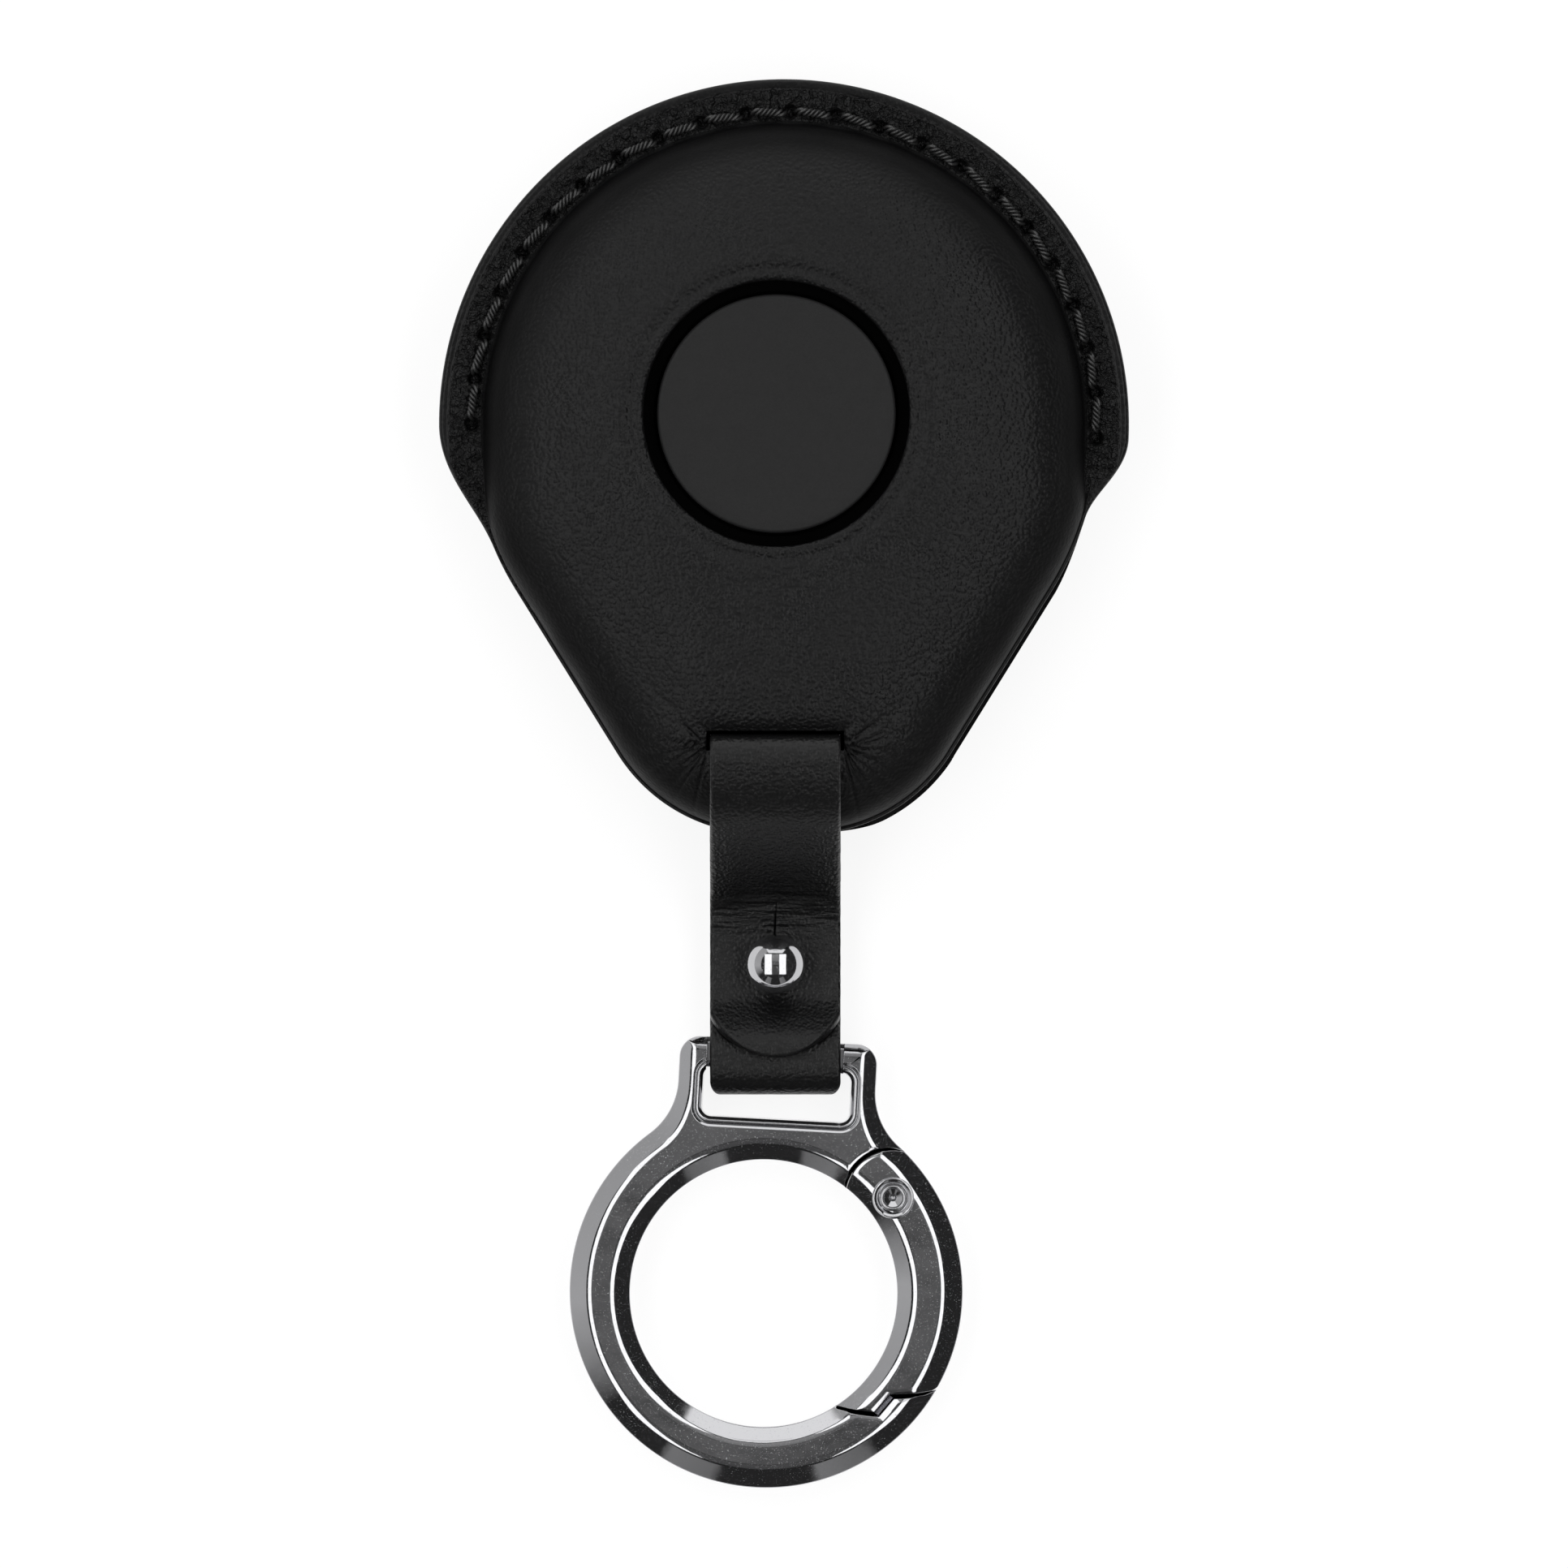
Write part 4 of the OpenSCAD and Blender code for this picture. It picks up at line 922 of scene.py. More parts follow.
def build_strap(case, strap, material):
    """The strap in one piece, which bends where it leaves the case."""
    path = smooth_line(resample(strap_path(case, strap), 0.13 * MM), 17)
    bend = smoothstep(-15.5 * MM, -13 * MM, path[:, 0]) * (1 - smoothstep(-7 * MM, -4 * MM, path[:, 0]))
    path = mix(path, smooth_line(path, 150), bend[:, None])
    tangent = directions(path)
    normal = np.column_stack([-tangent[:, 1], tangent[:, 0]])
    half_w = strap.width / 2
    half_t = strap.thickness / 2
    end_r = half_w + 0.3 * MM
    leg_end = 22 * MM
    grain_high, fold_high, wave_high = 0.02 * MM, 0.1 * MM, 0.04 * MM
    along = distances(path)
    fold_tip = path[:, 0].min()
    # Above this height the strap isn't at the ring's bar
    bar_top = ring_high.z + 1.5 * MM
    verts = []
    across = 40
    for k, (y, z) in enumerate(path):
        d = along[k]
        width = half_w
        if d < end_r:
            width = min(half_w, math.sqrt(max(0, end_r ** 2 - (end_r - d - 0.05 * MM) ** 2)))
        near = y - fold_tip
        if near < strap.fold_round and z < bar_top:
            u = 1 - near / strap.fold_round
            width = half_w - strap.fold_round * 0.75 * (1 - math.sqrt(max(0, 1 - u * u)))
        crush = near_crush(y) if d < leg_end else 0
        for x, h in strap_section(width, half_t, across):
            relief = grain_high * ripple(x / (1.1 * MM), d / (1.1 * MM), 31.0)
            relief += crush * fold_high * ripple(x / (2.4 * MM), y / (0.36 * MM), 33.0)
            edge_wave = wave_high * ripple(d / (1.5 * MM), math.copysign(4, x), 35.0)
            inside = 1 - smoothstep(0.75, 1.0, abs(x) / max(width, 1e-6))
            out = h + (1 if h > 0 else -1) * relief * float(inside)
            px = x + math.copysign(edge_wave, x) * (abs(x) > width * 0.9)
            verts.append((STRAP_X + px, y + normal[k, 0] * out, z + normal[k, 1] * out))
    faces = [f[::-1] for f in tube_faces(len(path), len(verts) // len(path))]
    obj = make_object("strap_leather", verts, faces, material, None, "strap_leather",
                      "strap_loop", "strap_tail", "strap_tab")
    tab_under = tab_low.z - 0.04 * MM
    # The hole in the tab, and the room for the stud's post and its screw
    for r, low, high, steps in ((1.42 * MM, tab_under, tab_under + 3 * MM, 48),
                                (1.06 * MM, -1 * MM, tab_under, 40),
                                (3.15 * MM, -1 * MM, 0.7 * MM, 48)):
        cut(obj, lathe([(0, low), (r, low), (r, high), (0, high)], steps, (STUD_X, STUD_Y, 0)))
    slit_low, slit_top = STUD_Y + 1.3 * MM, STUD_Y + 6.2 * MM
    wide, thin, lean = 0.085 * MM, 0.03 * MM, 0.11 * MM
    cut(obj, slab([(STUD_X - wide - lean, slit_low), (STUD_X + wide - lean, slit_low),
                   (STUD_X + thin + lean, slit_top), (STUD_X - thin + lean, slit_top)],
                  tab_under, tab_under + 2.2 * MM))
    obj.data.shade_smooth()
    mark_cut_edges(obj, half_w, end_r)
    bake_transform(obj)


def mark_cut_edges(obj, half_w, end_r):
    """Marks the raw sides, the rim of the tab and the crushed bend of the strap for the material."""
    co = points_of(obj.data)
    across = np.abs(co[:, 0] - STRAP_X)
    sides = smoothstep(half_w - 0.1 * MM, half_w - 0.01 * MM, across)
    centre_y = tab_low.y + end_r
    reach = np.hypot(across, co[:, 1] - centre_y)
    store(obj, "crush", near_crush(co[:, 1]))
    on_tab = (co[:, 1] < centre_y) * (co[:, 2] > tab_low.z - 0.05 * MM) * (reach < end_r + 0.2 * MM)
    store(obj, "cut_edge", np.maximum(sides, on_tab * smoothstep(end_r - 0.2 * MM, end_r - 0.08 * MM, reach)))


# Ball stud

def build_stud(material):
    ball_r = 2.72 * MM
    ball_z = stud_high.z - ball_r
    foot = stud_low.z
    seat = 2.45 * MM
    collar = seat + 0.4 * MM
    neck = 1.3 * MM
    start = math.asin(neck / ball_r)
    profile = [(0, foot), (0.96 * MM, foot), (1.0 * MM, foot + 0.04 * MM), (1.0 * MM, seat),
               (2.5 * MM, seat), (2.58 * MM, seat + 0.04 * MM), (2.6 * MM, seat + 0.12 * MM),
               (2.6 * MM, collar - 0.12 * MM), (2.56 * MM, collar - 0.04 * MM),
               (2.45 * MM, collar), (neck + 0.2 * MM, collar), (neck, collar + 0.2 * MM)]
    steps = 72
    for i in range(steps):
        a = mix(math.pi - start, 0.02, i / (steps - 1))
        profile.append((ball_r * math.sin(a), ball_z + ball_r * math.cos(a)))
    profile.append((0, ball_z + ball_r))
    verts, faces = lathe(profile, 128, (STUD_X, STUD_Y, 0))
    make_object("ball_stud", verts, faces, material, "strap", "gunmetal_plate", "stud_head")


# Ring and gate, drawn about the ring's centre with the loop along +Y, and then placed

def rounded(corners, setbacks, steps=4):
    """A line of (across, up) points with each inner corner rounded off, by one setback or one for each."""
    points = [np.array(c, float) for c in corners]
    if not isinstance(setbacks, tuple):
        setbacks = (setbacks,) * len(points)
    out = [points[0]]
    for before, at, after, setback in zip(points, points[1:], points[2:], setbacks):
        back, on = before - at, after - at
        t = min(setback, np.linalg.norm(back) * 0.45, np.linalg.norm(on) * 0.45)
        a = at + back / np.linalg.norm(back) * t
        b = at + on / np.linalg.norm(on) * t
        for i in range(steps + 1):
            u = i / steps
            out.append((1 - u) ** 2 * a + 2 * u * (1 - u) * at + u * u * b)
    out.append(points[-1])
    return out


class RingPlan:
    """Places and outlines of the ring, in its own frame."""

    def __init__(self, s):
        self.s = s
        self.half = (ring_high.z - ring_low.z) / 2
        self.middle = (ring_high.z + ring_low.z) / 2
        self.centre = Vector((ring_low.x + s.outer_radius, ring_low.y + s.outer_radius, self.middle))
        pin = Vector(((pin_low.x + pin_high.x) / 2 - self.centre.x,
                      (pin_low.y + pin_high.y) / 2 - self.centre.y))
        c, n = math.cos(s.turn), math.sin(s.turn)
        self.pin = np.array([pin.x * c - pin.y * n, pin.x * n + pin.y * c])
        self.pin_dir = math.atan2(self.pin[1], self.pin[0])
        self.arm_dir = self.pin_dir - math.pi / 2
        self.back = unit_at(self.arm_dir + math.pi)
        self.side = np.array([-self.back[1], self.back[0]])
        self.bore = -s.bore_shift * self.pin / np.linalg.norm(self.pin)
        self.wall = self.half - s.inner_deep

    def place(self, verts):
        """From the ring's own frame to the row frame."""
        v = np.array([tuple(p) for p in verts], float)
        c, n = math.cos(-self.s.turn), math.sin(-self.s.turn)
        return np.column_stack([v[:, 0] * c - v[:, 1] * n + self.centre.x,
                                v[:, 0] * n + v[:, 1] * c + self.centre.y, v[:, 2] + self.centre.z])

    def outer_samples(self, with_loop):
        """Points of the outline, each with its chamfer's inner edge, its inward direction and its drop."""
        s = self.s

        def on_ring(t):
            u = unit_at(t)
            return s.outer_radius * u, (s.outer_radius - s.chamfer_out) * u, -u, s.chamfer_deep

        if not with_loop:
            return [on_ring(2 * math.pi * (i / 240)) for i in range(240)]
        half = s.loop_width / 2
        c = np.array([half + s.neck_radius, 0])
        c[1] = math.sqrt((s.outer_radius + s.neck_radius) ** 2 - c[0] ** 2)
        blend = math.atan2(c[1], c[0])
        flat_x, flat_y = half - LOOP_SIDE_CHAMFER, s.loop_top - LOOP_TOP_CHAMFER
        start_y = s.loop_top - LOOP_CORNER
        inward = np.array([-1.0, 0])
        right = []
        for i in range(23):
            u = unit_at(mix(math.pi + blend, math.pi, i / 22))
            share = smoothstep(0, 1, i / 22)
            inset = mix(s.chamfer_out, LOOP_SIDE_CHAMFER, share)
            drop = mix(s.chamfer_deep, LOOP_DEEP, share)
            right.append((c + s.neck_radius * u, c + (s.neck_radius + inset) * u, u, drop))
        for i in range(1, 5):
            y = mix(c[1], start_y, i / 5)
            right.append((np.array([half, y]), np.array([flat_x, y]), inward, LOOP_DEEP))

        def at_corner(a, q, inward):
            p = np.array([half - LOOP_CORNER + LOOP_CORNER * math.cos(a), start_y + LOOP_CORNER * math.sin(a)])
            drop = LOOP_DEEP * max((p[0] - flat_x) / LOOP_SIDE_CHAMFER, (p[1] - flat_y) / LOOP_TOP_CHAMFER)
            right.append((p, np.array(q), inward, drop))

        # The side's chamfer, the soft edge where it meets the top's, and the top's
        mitre, soft = math.radians(50.3), 0.02
        for i in range(11):
            at_corner(mix(0, mitre - soft, i / 10), [flat_x, mix(start_y, flat_y - LOOP_SOFT, i / 10)], inward)
        for i in range(1, 5):
            u = unit_at(math.pi / 2 * (i / 5))
            q = [flat_x - LOOP_SOFT + LOOP_SOFT * u[0], flat_y - LOOP_SOFT + LOOP_SOFT * u[1]]
            at_corner(mix(mitre - soft, mitre + soft, i / 5), q, -u)
        for i in range(9):
            q = [mix(flat_x - LOOP_SOFT, half - LOOP_CORNER, i / 8), flat_y]
            at_corner(mix(mitre + soft, math.pi / 2, i / 8), q, np.array([0, -1.0]))
        left = [(p * [-1, 1], q * [-1, 1], n * [-1, 1], d) for p, q, n, d in reversed(right)]
        ring = [on_ring(mix(math.pi - blend, 2 * math.pi + blend, i / 220)) for i in range(1, 220)]
        return ring + right + left

    def outer_solid(self, with_loop):
        """The ring's outer form, chamfered and rounded on both faces, with nothing taken out."""
        samples = self.outer_samples(with_loop)
        widths = [np.linalg.norm(q - p) for p, q, _, _ in samples]
        lines = [rounded([(0, 0), (0, self.half - drop), (width, self.half), (width + 1.2 * MM, self.half)],
                         (WALL_FILLET, self.s.fillet))[:-1] for (_, _, _, drop), width in zip(samples, widths)]
        rows = []
        count = len(lines[0])
        for sign, order in ((-1, range(count - 1, -1, -1)), (1, range(1, count))):
            for k in order:
                row = []
                for (p, q, inward, _), width, line in zip(samples, widths, lines):
                    across, up = line[k]
                    flat = p + (q - p) * (across / width) if across <= width else q + inward * (across - width)
                    row.append((flat[0], flat[1], sign * up))
                rows.append(row)
        return loft_solid(rows)

    def mirrored(self, upper):
        """A line of (across, height) from the middle up, joined to its mirror image below."""
        return [(g, -z) for g, z in reversed(upper)] + upper

    def past_face(self, line, *ends):
        """A rounded line without its last point, led on past the ring's face, and mirrored."""
        upper = [(g, z) for g, z in line[:-1]]
        upper += [(g, self.half + 1 * MM) for g in (upper[-1][0], *ends)]
        return [(g, -z) for g, z in reversed(upper)] + upper[1:]

    def bore_solid(self):
        """What the hole and its inner chamfers take away."""
        low, high = self.s.bore_radius, self.s.bore_radius + self.s.chamfer_in
        line = rounded([(low, 0), (low, self.wall), (high, self.half), (high + 1.2 * MM, self.half)],
                       (WALL_FILLET, self.s.fillet))
        return lathe(self.past_face(line, 0), 240, (self.bore[0], self.bore[1], 0))

    def opening_outline(self, grow):
        s = self.s
        r = OPENING_CORNER + grow
        half = s.opening_width / 2 + grow
        low, high = s.opening_low - grow, s.loop_top - BAR_WIDTH + grow
        points = []
        for cx, cy, start in ((half - r, high - r, 0), (r - half, high - r, 90),
                              (r - half, low + r, 180), (half - r, low + r, 270)):
            for i in range(9):
                a = math.radians(start + 90 * i / 8)
                points.append((cx + r * math.cos(a), cy + r * math.sin(a)))
        return points

    def opening_solid(self):
        """What the loop's opening takes away, with its lip bevelled on both faces."""
        bevel = 0.42 * MM
        line = rounded([(0, 0), (0.1 * MM, self.half - bevel), (bevel, self.half), (1 * MM, self.half)],
                       0.13 * MM)
        return self.prism(self.opening_outline, self.past_face(line))

    def lip_band(self, sign):
        """A shallow groove round the opening's lip, on one face."""
        high, deep = self.half + 0.5 * MM, self.half - 0.2 * MM
        rows = [[(x, y, sign * z) for x, y in self.opening_outline(grow * MM)] for grow, z in
                ((0.58, high), (0.58, self.half), (0.74, deep), (1.05, self.half), (1.05, high))]
        faces = grid_faces(len(rows), len(rows[0]), close_rows=True, close_cols=True)
        return sum(rows[::sign], []), faces

    def prism(self, outline, grow_line):
        """A prism through outline(grow) at each (grow, height) of a line."""
        return loft_solid([[(x, y, z) for x, y in outline(g)] for g, z in grow_line])

    def disc(self, radius):
        """Outline of a disc round the pin."""
        def outline(g):
            return [self.pin + (radius + g) * unit_at(2 * math.pi * i / 128) for i in range(128)]
        return outline

    def arm(self, margin):
        """Outline of the gate's arm in plan, with its hooked end, as in the frame."""
        half_turn, hook, slant = math.radians(88), math.radians(-88), math.radians(4)
        steps = 40

        def outline(g):
            m = margin + g
            shift = math.atan(m / REACH_OUT)
            points = [self.pin]
            for reach, start, end in ((REACH_OUT, self.arm_dir + half_turn, hook + shift),
                                      (REACH_IN, hook - slant + shift, self.arm_dir - half_turn)):
                turns = [mix(start, end, i / steps) for i in range(steps + 1)]
                points += [self.pin + (reach + m) * unit_at(turn) for turn in turns]
            return points[::-1]
        return outline

    def ribbed(self, bevel):
        """The gate's side: a soft bevel at each face, and a rib half way down that reaches into the gap."""
        h = self.half
        return self.mirrored([(RIB, 0.3 * MM), (0, 0.75 * MM), (0, h - bevel), (-0.04 * MM, h - 0.14 * MM),
                              (-0.22 * MM, h - 0.05 * MM), (-0.44 * MM, h + 0.01 * MM)])

    def lipped(self, bevel):
        """The frame's side: a bevel at each face, and a lip over and under the gate's rib."""
        h = self.half
        return self.mirrored([(0, 0.75 * MM), (-RIB, 1.0 * MM), (-RIB, 1.25 * MM), (0, 1.8 * MM),
                              (0, h - 2 * bevel), (bevel * 0.6, h - 0.16 * MM), (bevel * 0.6 + 0.34 * MM, h),
                              (bevel + 1.4 * MM, h + 1 * MM)])


LOOP_SIDE_CHAMFER = 1.25 * MM
LOOP_TOP_CHAMFER = 0.8 * MM
LOOP_DEEP = 0.9 * MM
WALL_FILLET = 0.12 * MM
LOOP_CORNER = 1.9 * MM
LOOP_SOFT = 0.3 * MM
OPENING_CORNER = 0.8 * MM
BAR_WIDTH = 2.8 * MM
BAR_HALF_T = 0.95 * MM
BAR_BEVEL = 0.5 * MM
REACH_OUT = 18.1 * MM
REACH_IN = 19.8 * MM
RIB = 0.27 * MM
EYE = 2.4 * MM
EYE_T = 1.9 * MM
PIN = 1.2 * MM
POCKET = 1.89 * MM
POCKET_DEEP = 1.25 * MM
BOSS = 1.9 * MM
# How far the pin's head and its boss stand over the ring's face
HEAD_UP = 0.25 * MM
# Half the height of what cuts through the whole ring
THROUGH = 4 * MM


def ring_mesh(name, plan, with_loop):
    """A bare object with the ring's outer form less its hole, in the ring's own frame."""
    obj = bare_object(name, *plan.outer_solid(with_loop))
    cut(obj, plan.bore_solid())
    return obj


def finish_metal(obj, plan, material, body, slot, *nodes):
    """Places a metal piece, and shades its flats flat and its roundings smooth."""
    mesh = obj.data
    mesh.vertices.foreach_set("co", plan.place(points_of(mesh)).ravel())
    mesh.materials.clear()
    mesh.materials.append(material)
    mesh.shade_smooth()
    mesh.set_sharp_from_angle(angle=math.radians(28))
    weighted = obj.modifiers.new("weighted", "WEIGHTED_NORMAL")
    weighted.mode = "FACE_AREA"
    weighted.weight = 60
    weighted.keep_sharp = True
    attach(obj, body)
    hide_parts(*nodes)


def build_ring_frame(s, material):
    plan = RingPlan(s)
    obj = ring_mesh("ring_frame_metal", plan, True)
    cut(obj, plan.opening_solid())
    for sign in (1, -1):
        cut(obj, plan.lip_band(sign))
    loop_x = (STRAP_X - plan.centre.x) / math.cos(s.turn) - (s.loop_top - BAR_WIDTH / 2) * math.sin(s.turn)
    half_room = (strap_high.x - strap_low.x) / 2 + 0.3 * MM
    left, right = loop_x - half_room, loop_x + half_room
    low, high = s.loop_top - BAR_WIDTH, s.loop_top
    cut(obj, block((left, low - 0.7 * MM, -THROUGH), (right, high + 1 * MM, THROUGH)))
    section = rounded([(low, 0), (low, BAR_HALF_T - BAR_BEVEL), (low + BAR_BEVEL, BAR_HALF_T),
                       (high - BAR_BEVEL, BAR_HALF_T), (high, BAR_HALF_T - BAR_BEVEL), (high, 0)], 0.12 * MM, 3)
    loop = section + [(y, -z) for y, z in reversed(section[1:-1])]
    bar = loft_solid([[(x, y, z) for y, z in loop] for x in (right + 0.4 * MM, left - 0.4 * MM)])
    boolean(obj, "UNION", *bar)
    for outline in (plan.disc(s.gate_head + s.gate_gap), plan.arm(s.gate_gap)):
        cut(obj, plan.prism(outline, plan.lipped(0.2 * MM)))
    # The eye that carries the pin, on its neck out of the frame, with its hole and the spring's pocket
    neck = EYE * 2 / 3
    far = s.gate_head + s.gate_gap + 1.4 * MM
    start = math.asin(neck / EYE)
    turns = [mix(start, 2 * math.pi - start, i / 48) for i in range(49)]
    eye = [plan.pin + EYE * (math.cos(a) * plan.back + math.sin(a) * plan.side) for a in turns]
    eye += [plan.pin + far * plan.back + off * plan.side for off in (-neck, neck)]
    boolean(obj, "UNION", *slab(eye, -EYE_T / 2, EYE_T / 2))
    cut(obj, slab(plan.disc(PIN + 0.05 * MM)(0), -THROUGH, THROUGH))
    cut(obj, slab(plan.disc(POCKET)(0), EYE_T / 2 - POCKET_DEEP, THROUGH))
    finish_metal(obj, plan, material, "ring", "gunmetal_plate", "ring_frame")


def gate_corner(plan, s):
    """Outline of what rounds off the gate's outer corner, seen from above."""
    r = 1.3 * MM
    a, b = s.outer_radius - r, REACH_OUT - r
    d = float(np.linalg.norm(plan.pin))
    along = (a * a - b * b + d * d) / (2 * d)
    off = math.sqrt(max(0, a * a - along * along))
    u = plan.pin / d
    c = along * u + off * np.array([u[1], -u[0]])
    first = c / np.linalg.norm(c)
    second = (c - plan.pin) / np.linalg.norm(c - plan.pin)
    a0, a1 = math.atan2(first[1], first[0]), math.atan2(second[1], second[0])
    if a1 - a0 > math.pi:
        a1 -= 2 * math.pi
    if a0 - a1 > math.pi:
        a0 -= 2 * math.pi
    points = [c + r * unit_at(mix(a0, a1, i / 16)) for i in range(17)]
    # Out past the tangents and round the corner
    points.append(plan.pin + (REACH_OUT + 2 * MM) * second)
    points.append(c + 6 * MM * (first + second) / np.linalg.norm(first + second))
    points.append((s.outer_radius + 2 * MM) * first)
    area = sum(p[0] * q[1] - q[0] * p[1] for p, q in zip(points, points[1:] + points[:1]))
    return points if area > 0 else points[::-1]


def build_gate(s, material):
    plan = RingPlan(s)
    obj = ring_mesh("gate_metal", plan, False)
    boolean(obj, "INTERSECT", *gate_form(plan, s, 0.26 * MM))
    cut(obj, slab(gate_corner(plan, s), -THROUGH, THROUGH))
    low, top = -plan.half + 0.3 * MM, plan.half + HEAD_UP
    boss = lathe([(0, low), (BOSS, low), (BOSS, top - 0.2 * MM),
                  (BOSS - 0.03 * MM, top - 0.1 * MM), (BOSS - 0.09 * MM, top - 0.03 * MM),
                  (BOSS - 0.16 * MM, top - 0.01 * MM), (BOSS - 0.22 * MM, top - 0.04 * MM),
                  (BOSS - 0.26 * MM, top - 0.067 * MM), (PIN + 0.06 * MM, top - 0.323 * MM),
                  (0, top - 0.323 * MM)], 96, (plan.pin[0], plan.pin[1], 0))
    boolean(obj, "UNION", *boss)
    # Room between the ears for the frame's eye, and for its neck while the gate turns
    half = EYE * 2 / 3 + s.gate_gap
    half_h = EYE_T / 2 + 0.1 * MM
    near, far = 0.5 * MM, 18 * MM
    turn = math.radians(joints["gate_open"]["range_deg"][1])
    back, side = plan.back, plan.side
    turned_back = back * math.cos(turn) + side * math.sin(turn)
    turned_side = side * math.cos(turn) - back * math.sin(turn)
    room = [plan.pin + near * back - half * side, plan.pin + far * back - half * side,
            plan.pin + far * turned_back + half * turned_side,
            plan.pin + near * turned_back + half * turned_side]
    for outline in (plan.disc(EYE + s.gate_gap)(0), room):
        cut(obj, slab(outline, -half_h, half_h))
    cut(obj, slab(plan.disc(PIN + 0.012 * MM)(0), -THROUGH, THROUGH))
    finish_metal(obj, plan, material, "gate", "gunmetal_plate", "gate")


def gate_form(plan, s, bevel):
    """The gate's plan form as a closed solid: its round head and its hooked arm."""
    obj = bare_object("gate_tool", *plan.prism(plan.disc(s.gate_head), plan.ribbed(bevel)))
    boolean(obj, "UNION", *plan.prism(plan.arm(0), plan.ribbed(bevel)))
    done = obj.data
    verts = [tuple(v.co) for v in done.vertices]
    faces = [tuple(p.vertices) for p in done.polygons]
    bpy.data.objects.remove(obj)
    bpy.data.meshes.remove(done)
    return verts, faces


def build_rivet(s, material):
    """The gate's pin, with its spun end: a bright rim round a hollow."""
    plan = RingPlan(s)
    low, top = -plan.half, plan.half + HEAD_UP
    # Across and up from the lower end, then across and up from the upper one, in millimetres
    lower = [(0, 0.3), (0.85, 0.3), (0.9, 0.05), (0.96, 0), (1.14, 0), (1.2, 0.06)]
    upper = [(1.2, -0.15), (1.18, -0.05), (1.12, 0.02), (1.03, 0.05), (0.95, 0.02), (0.9, -0.06),
             (0.86, -0.165), (0.82, -0.192), (0.1, -0.678), (0.05, -0.711), (0, -0.745)]
    profile = [(r * MM, low + z * MM) for r, z in lower] + [(r * MM, top + z * MM) for r, z in upper]
    verts, faces = lathe(profile, 96, (plan.pin[0], plan.pin[1], 0))
    make_object("gate_rivet", plan.place(verts), faces, material, "gate", "gunmetal_plate", "gate_pin")


def build_button(material):
    """The bare disc in the window, with a rounded edge, and its stem."""
    r = (button_high.x - button_low.x) / 2
    top, low = button_high.z, button_low.z
    stem, edge, dish = 2 * MM, 0.35 * MM, 0.06 * MM
    under = top - 1.5 * MM
    profile = [(0, low), (stem - 0.1 * MM, low), (stem, low + 0.1 * MM), (stem, under),
               (r - 0.2 * MM, under), (r, under + 0.2 * MM)]
    profile += [(r - edge + edge * math.cos(a), top - dish - edge + edge * math.sin(a)) for a in quarter(6)]
    profile += [(r * t, top - dish * t * t) for t in (0.9, 0.75, 0.5, 0.25)]
    profile.append((0, top))
    verts, faces = lathe(profile, 160, (WINDOW.x, WINDOW.y, 0))
    make_object("disc_button", verts, faces, material, "button", "button_plastic", "fob_button")


def build_pad(material):
    """The rubber dome between the button's stem and the switch, which gives way as the button goes down."""
    r, tall = (pad_high.x - pad_low.x) / 2, pad_high.z - pad_low.z
    profile = [(0, 0), (r - 0.05 * MM, 0), (r, 0.05 * MM), (r, tall * 0.25), (r * 0.93, tall * 0.38)]
    profile += [(r * (0.62 + 0.25 * math.cos(a)), tall * (0.4 + 0.6 * math.sin(a))) for a in quarter(6)]
    profile.append((0, tall))
    low = ((pad_low.x + pad_high.x) / 2, (pad_low.y + pad_high.y) / 2, pad_low.z)
    pad = make_object("rubber_pad", *lathe(profile, 64, low), material, "case", "pad_rubber", "fob_pad")
    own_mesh(pad)


# Finishes

class Nodes:
    """The node tree of a material or world in the making, with short ways to add and join its nodes."""

    def __init__(self, owner):
        self.owner = owner
        owner.use_nodes = True
        self.tree = owner.node_tree
        self.tree.nodes.clear()

    def put(self, socket, value):
        """Sets a socket to a value, or joins it to another socket."""
        if isinstance(value, bpy.types.NodeSocket):
            self.tree.links.new(value, socket)
        else:
            socket.default_value = value

    def node(self, kind, sockets=None, **values):
        """Adds a node, sets its properties, and fills its sockets by name or number."""
        n = self.tree.nodes.new(kind)
        for key, value in values.items():
            setattr(n, key, value)
        for key, value in (sockets or {}).items():
            self.put(n.inputs[key], value)
        return n

    def calc(self, operation, a, b):
        return self.node("ShaderNodeMath", {0: a, 1: b}, operation=operation).outputs["Value"]

    def add(self, a, b):
        return self.calc("ADD", a, b)

    def times(self, a, b):
        return self.calc("MULTIPLY", a, b)

    def attribute(self, name):
        return self.node("ShaderNodeAttribute", attribute_name=name).outputs["Fac"]

    def seen(self):
        """1 for what the camera sees, straight or in metal or glass."""
        path = self.node("ShaderNodeLightPath").outputs
        either = self.calc("MAXIMUM", path["Is Camera Ray"], path["Is Glossy Ray"])
        return self.calc("MAXIMUM", either, path["Is Transmission Ray"])

    def close(self, shader, kind="ShaderNodeOutputMaterial"):
        """Ends in a shader, and gives the material or the world."""
        self.node(kind, {"Surface": shader})
        return self.owner


def tint(colour, factor):
    """A colour made darker or lighter."""
    return tuple(c * factor for c in colour)


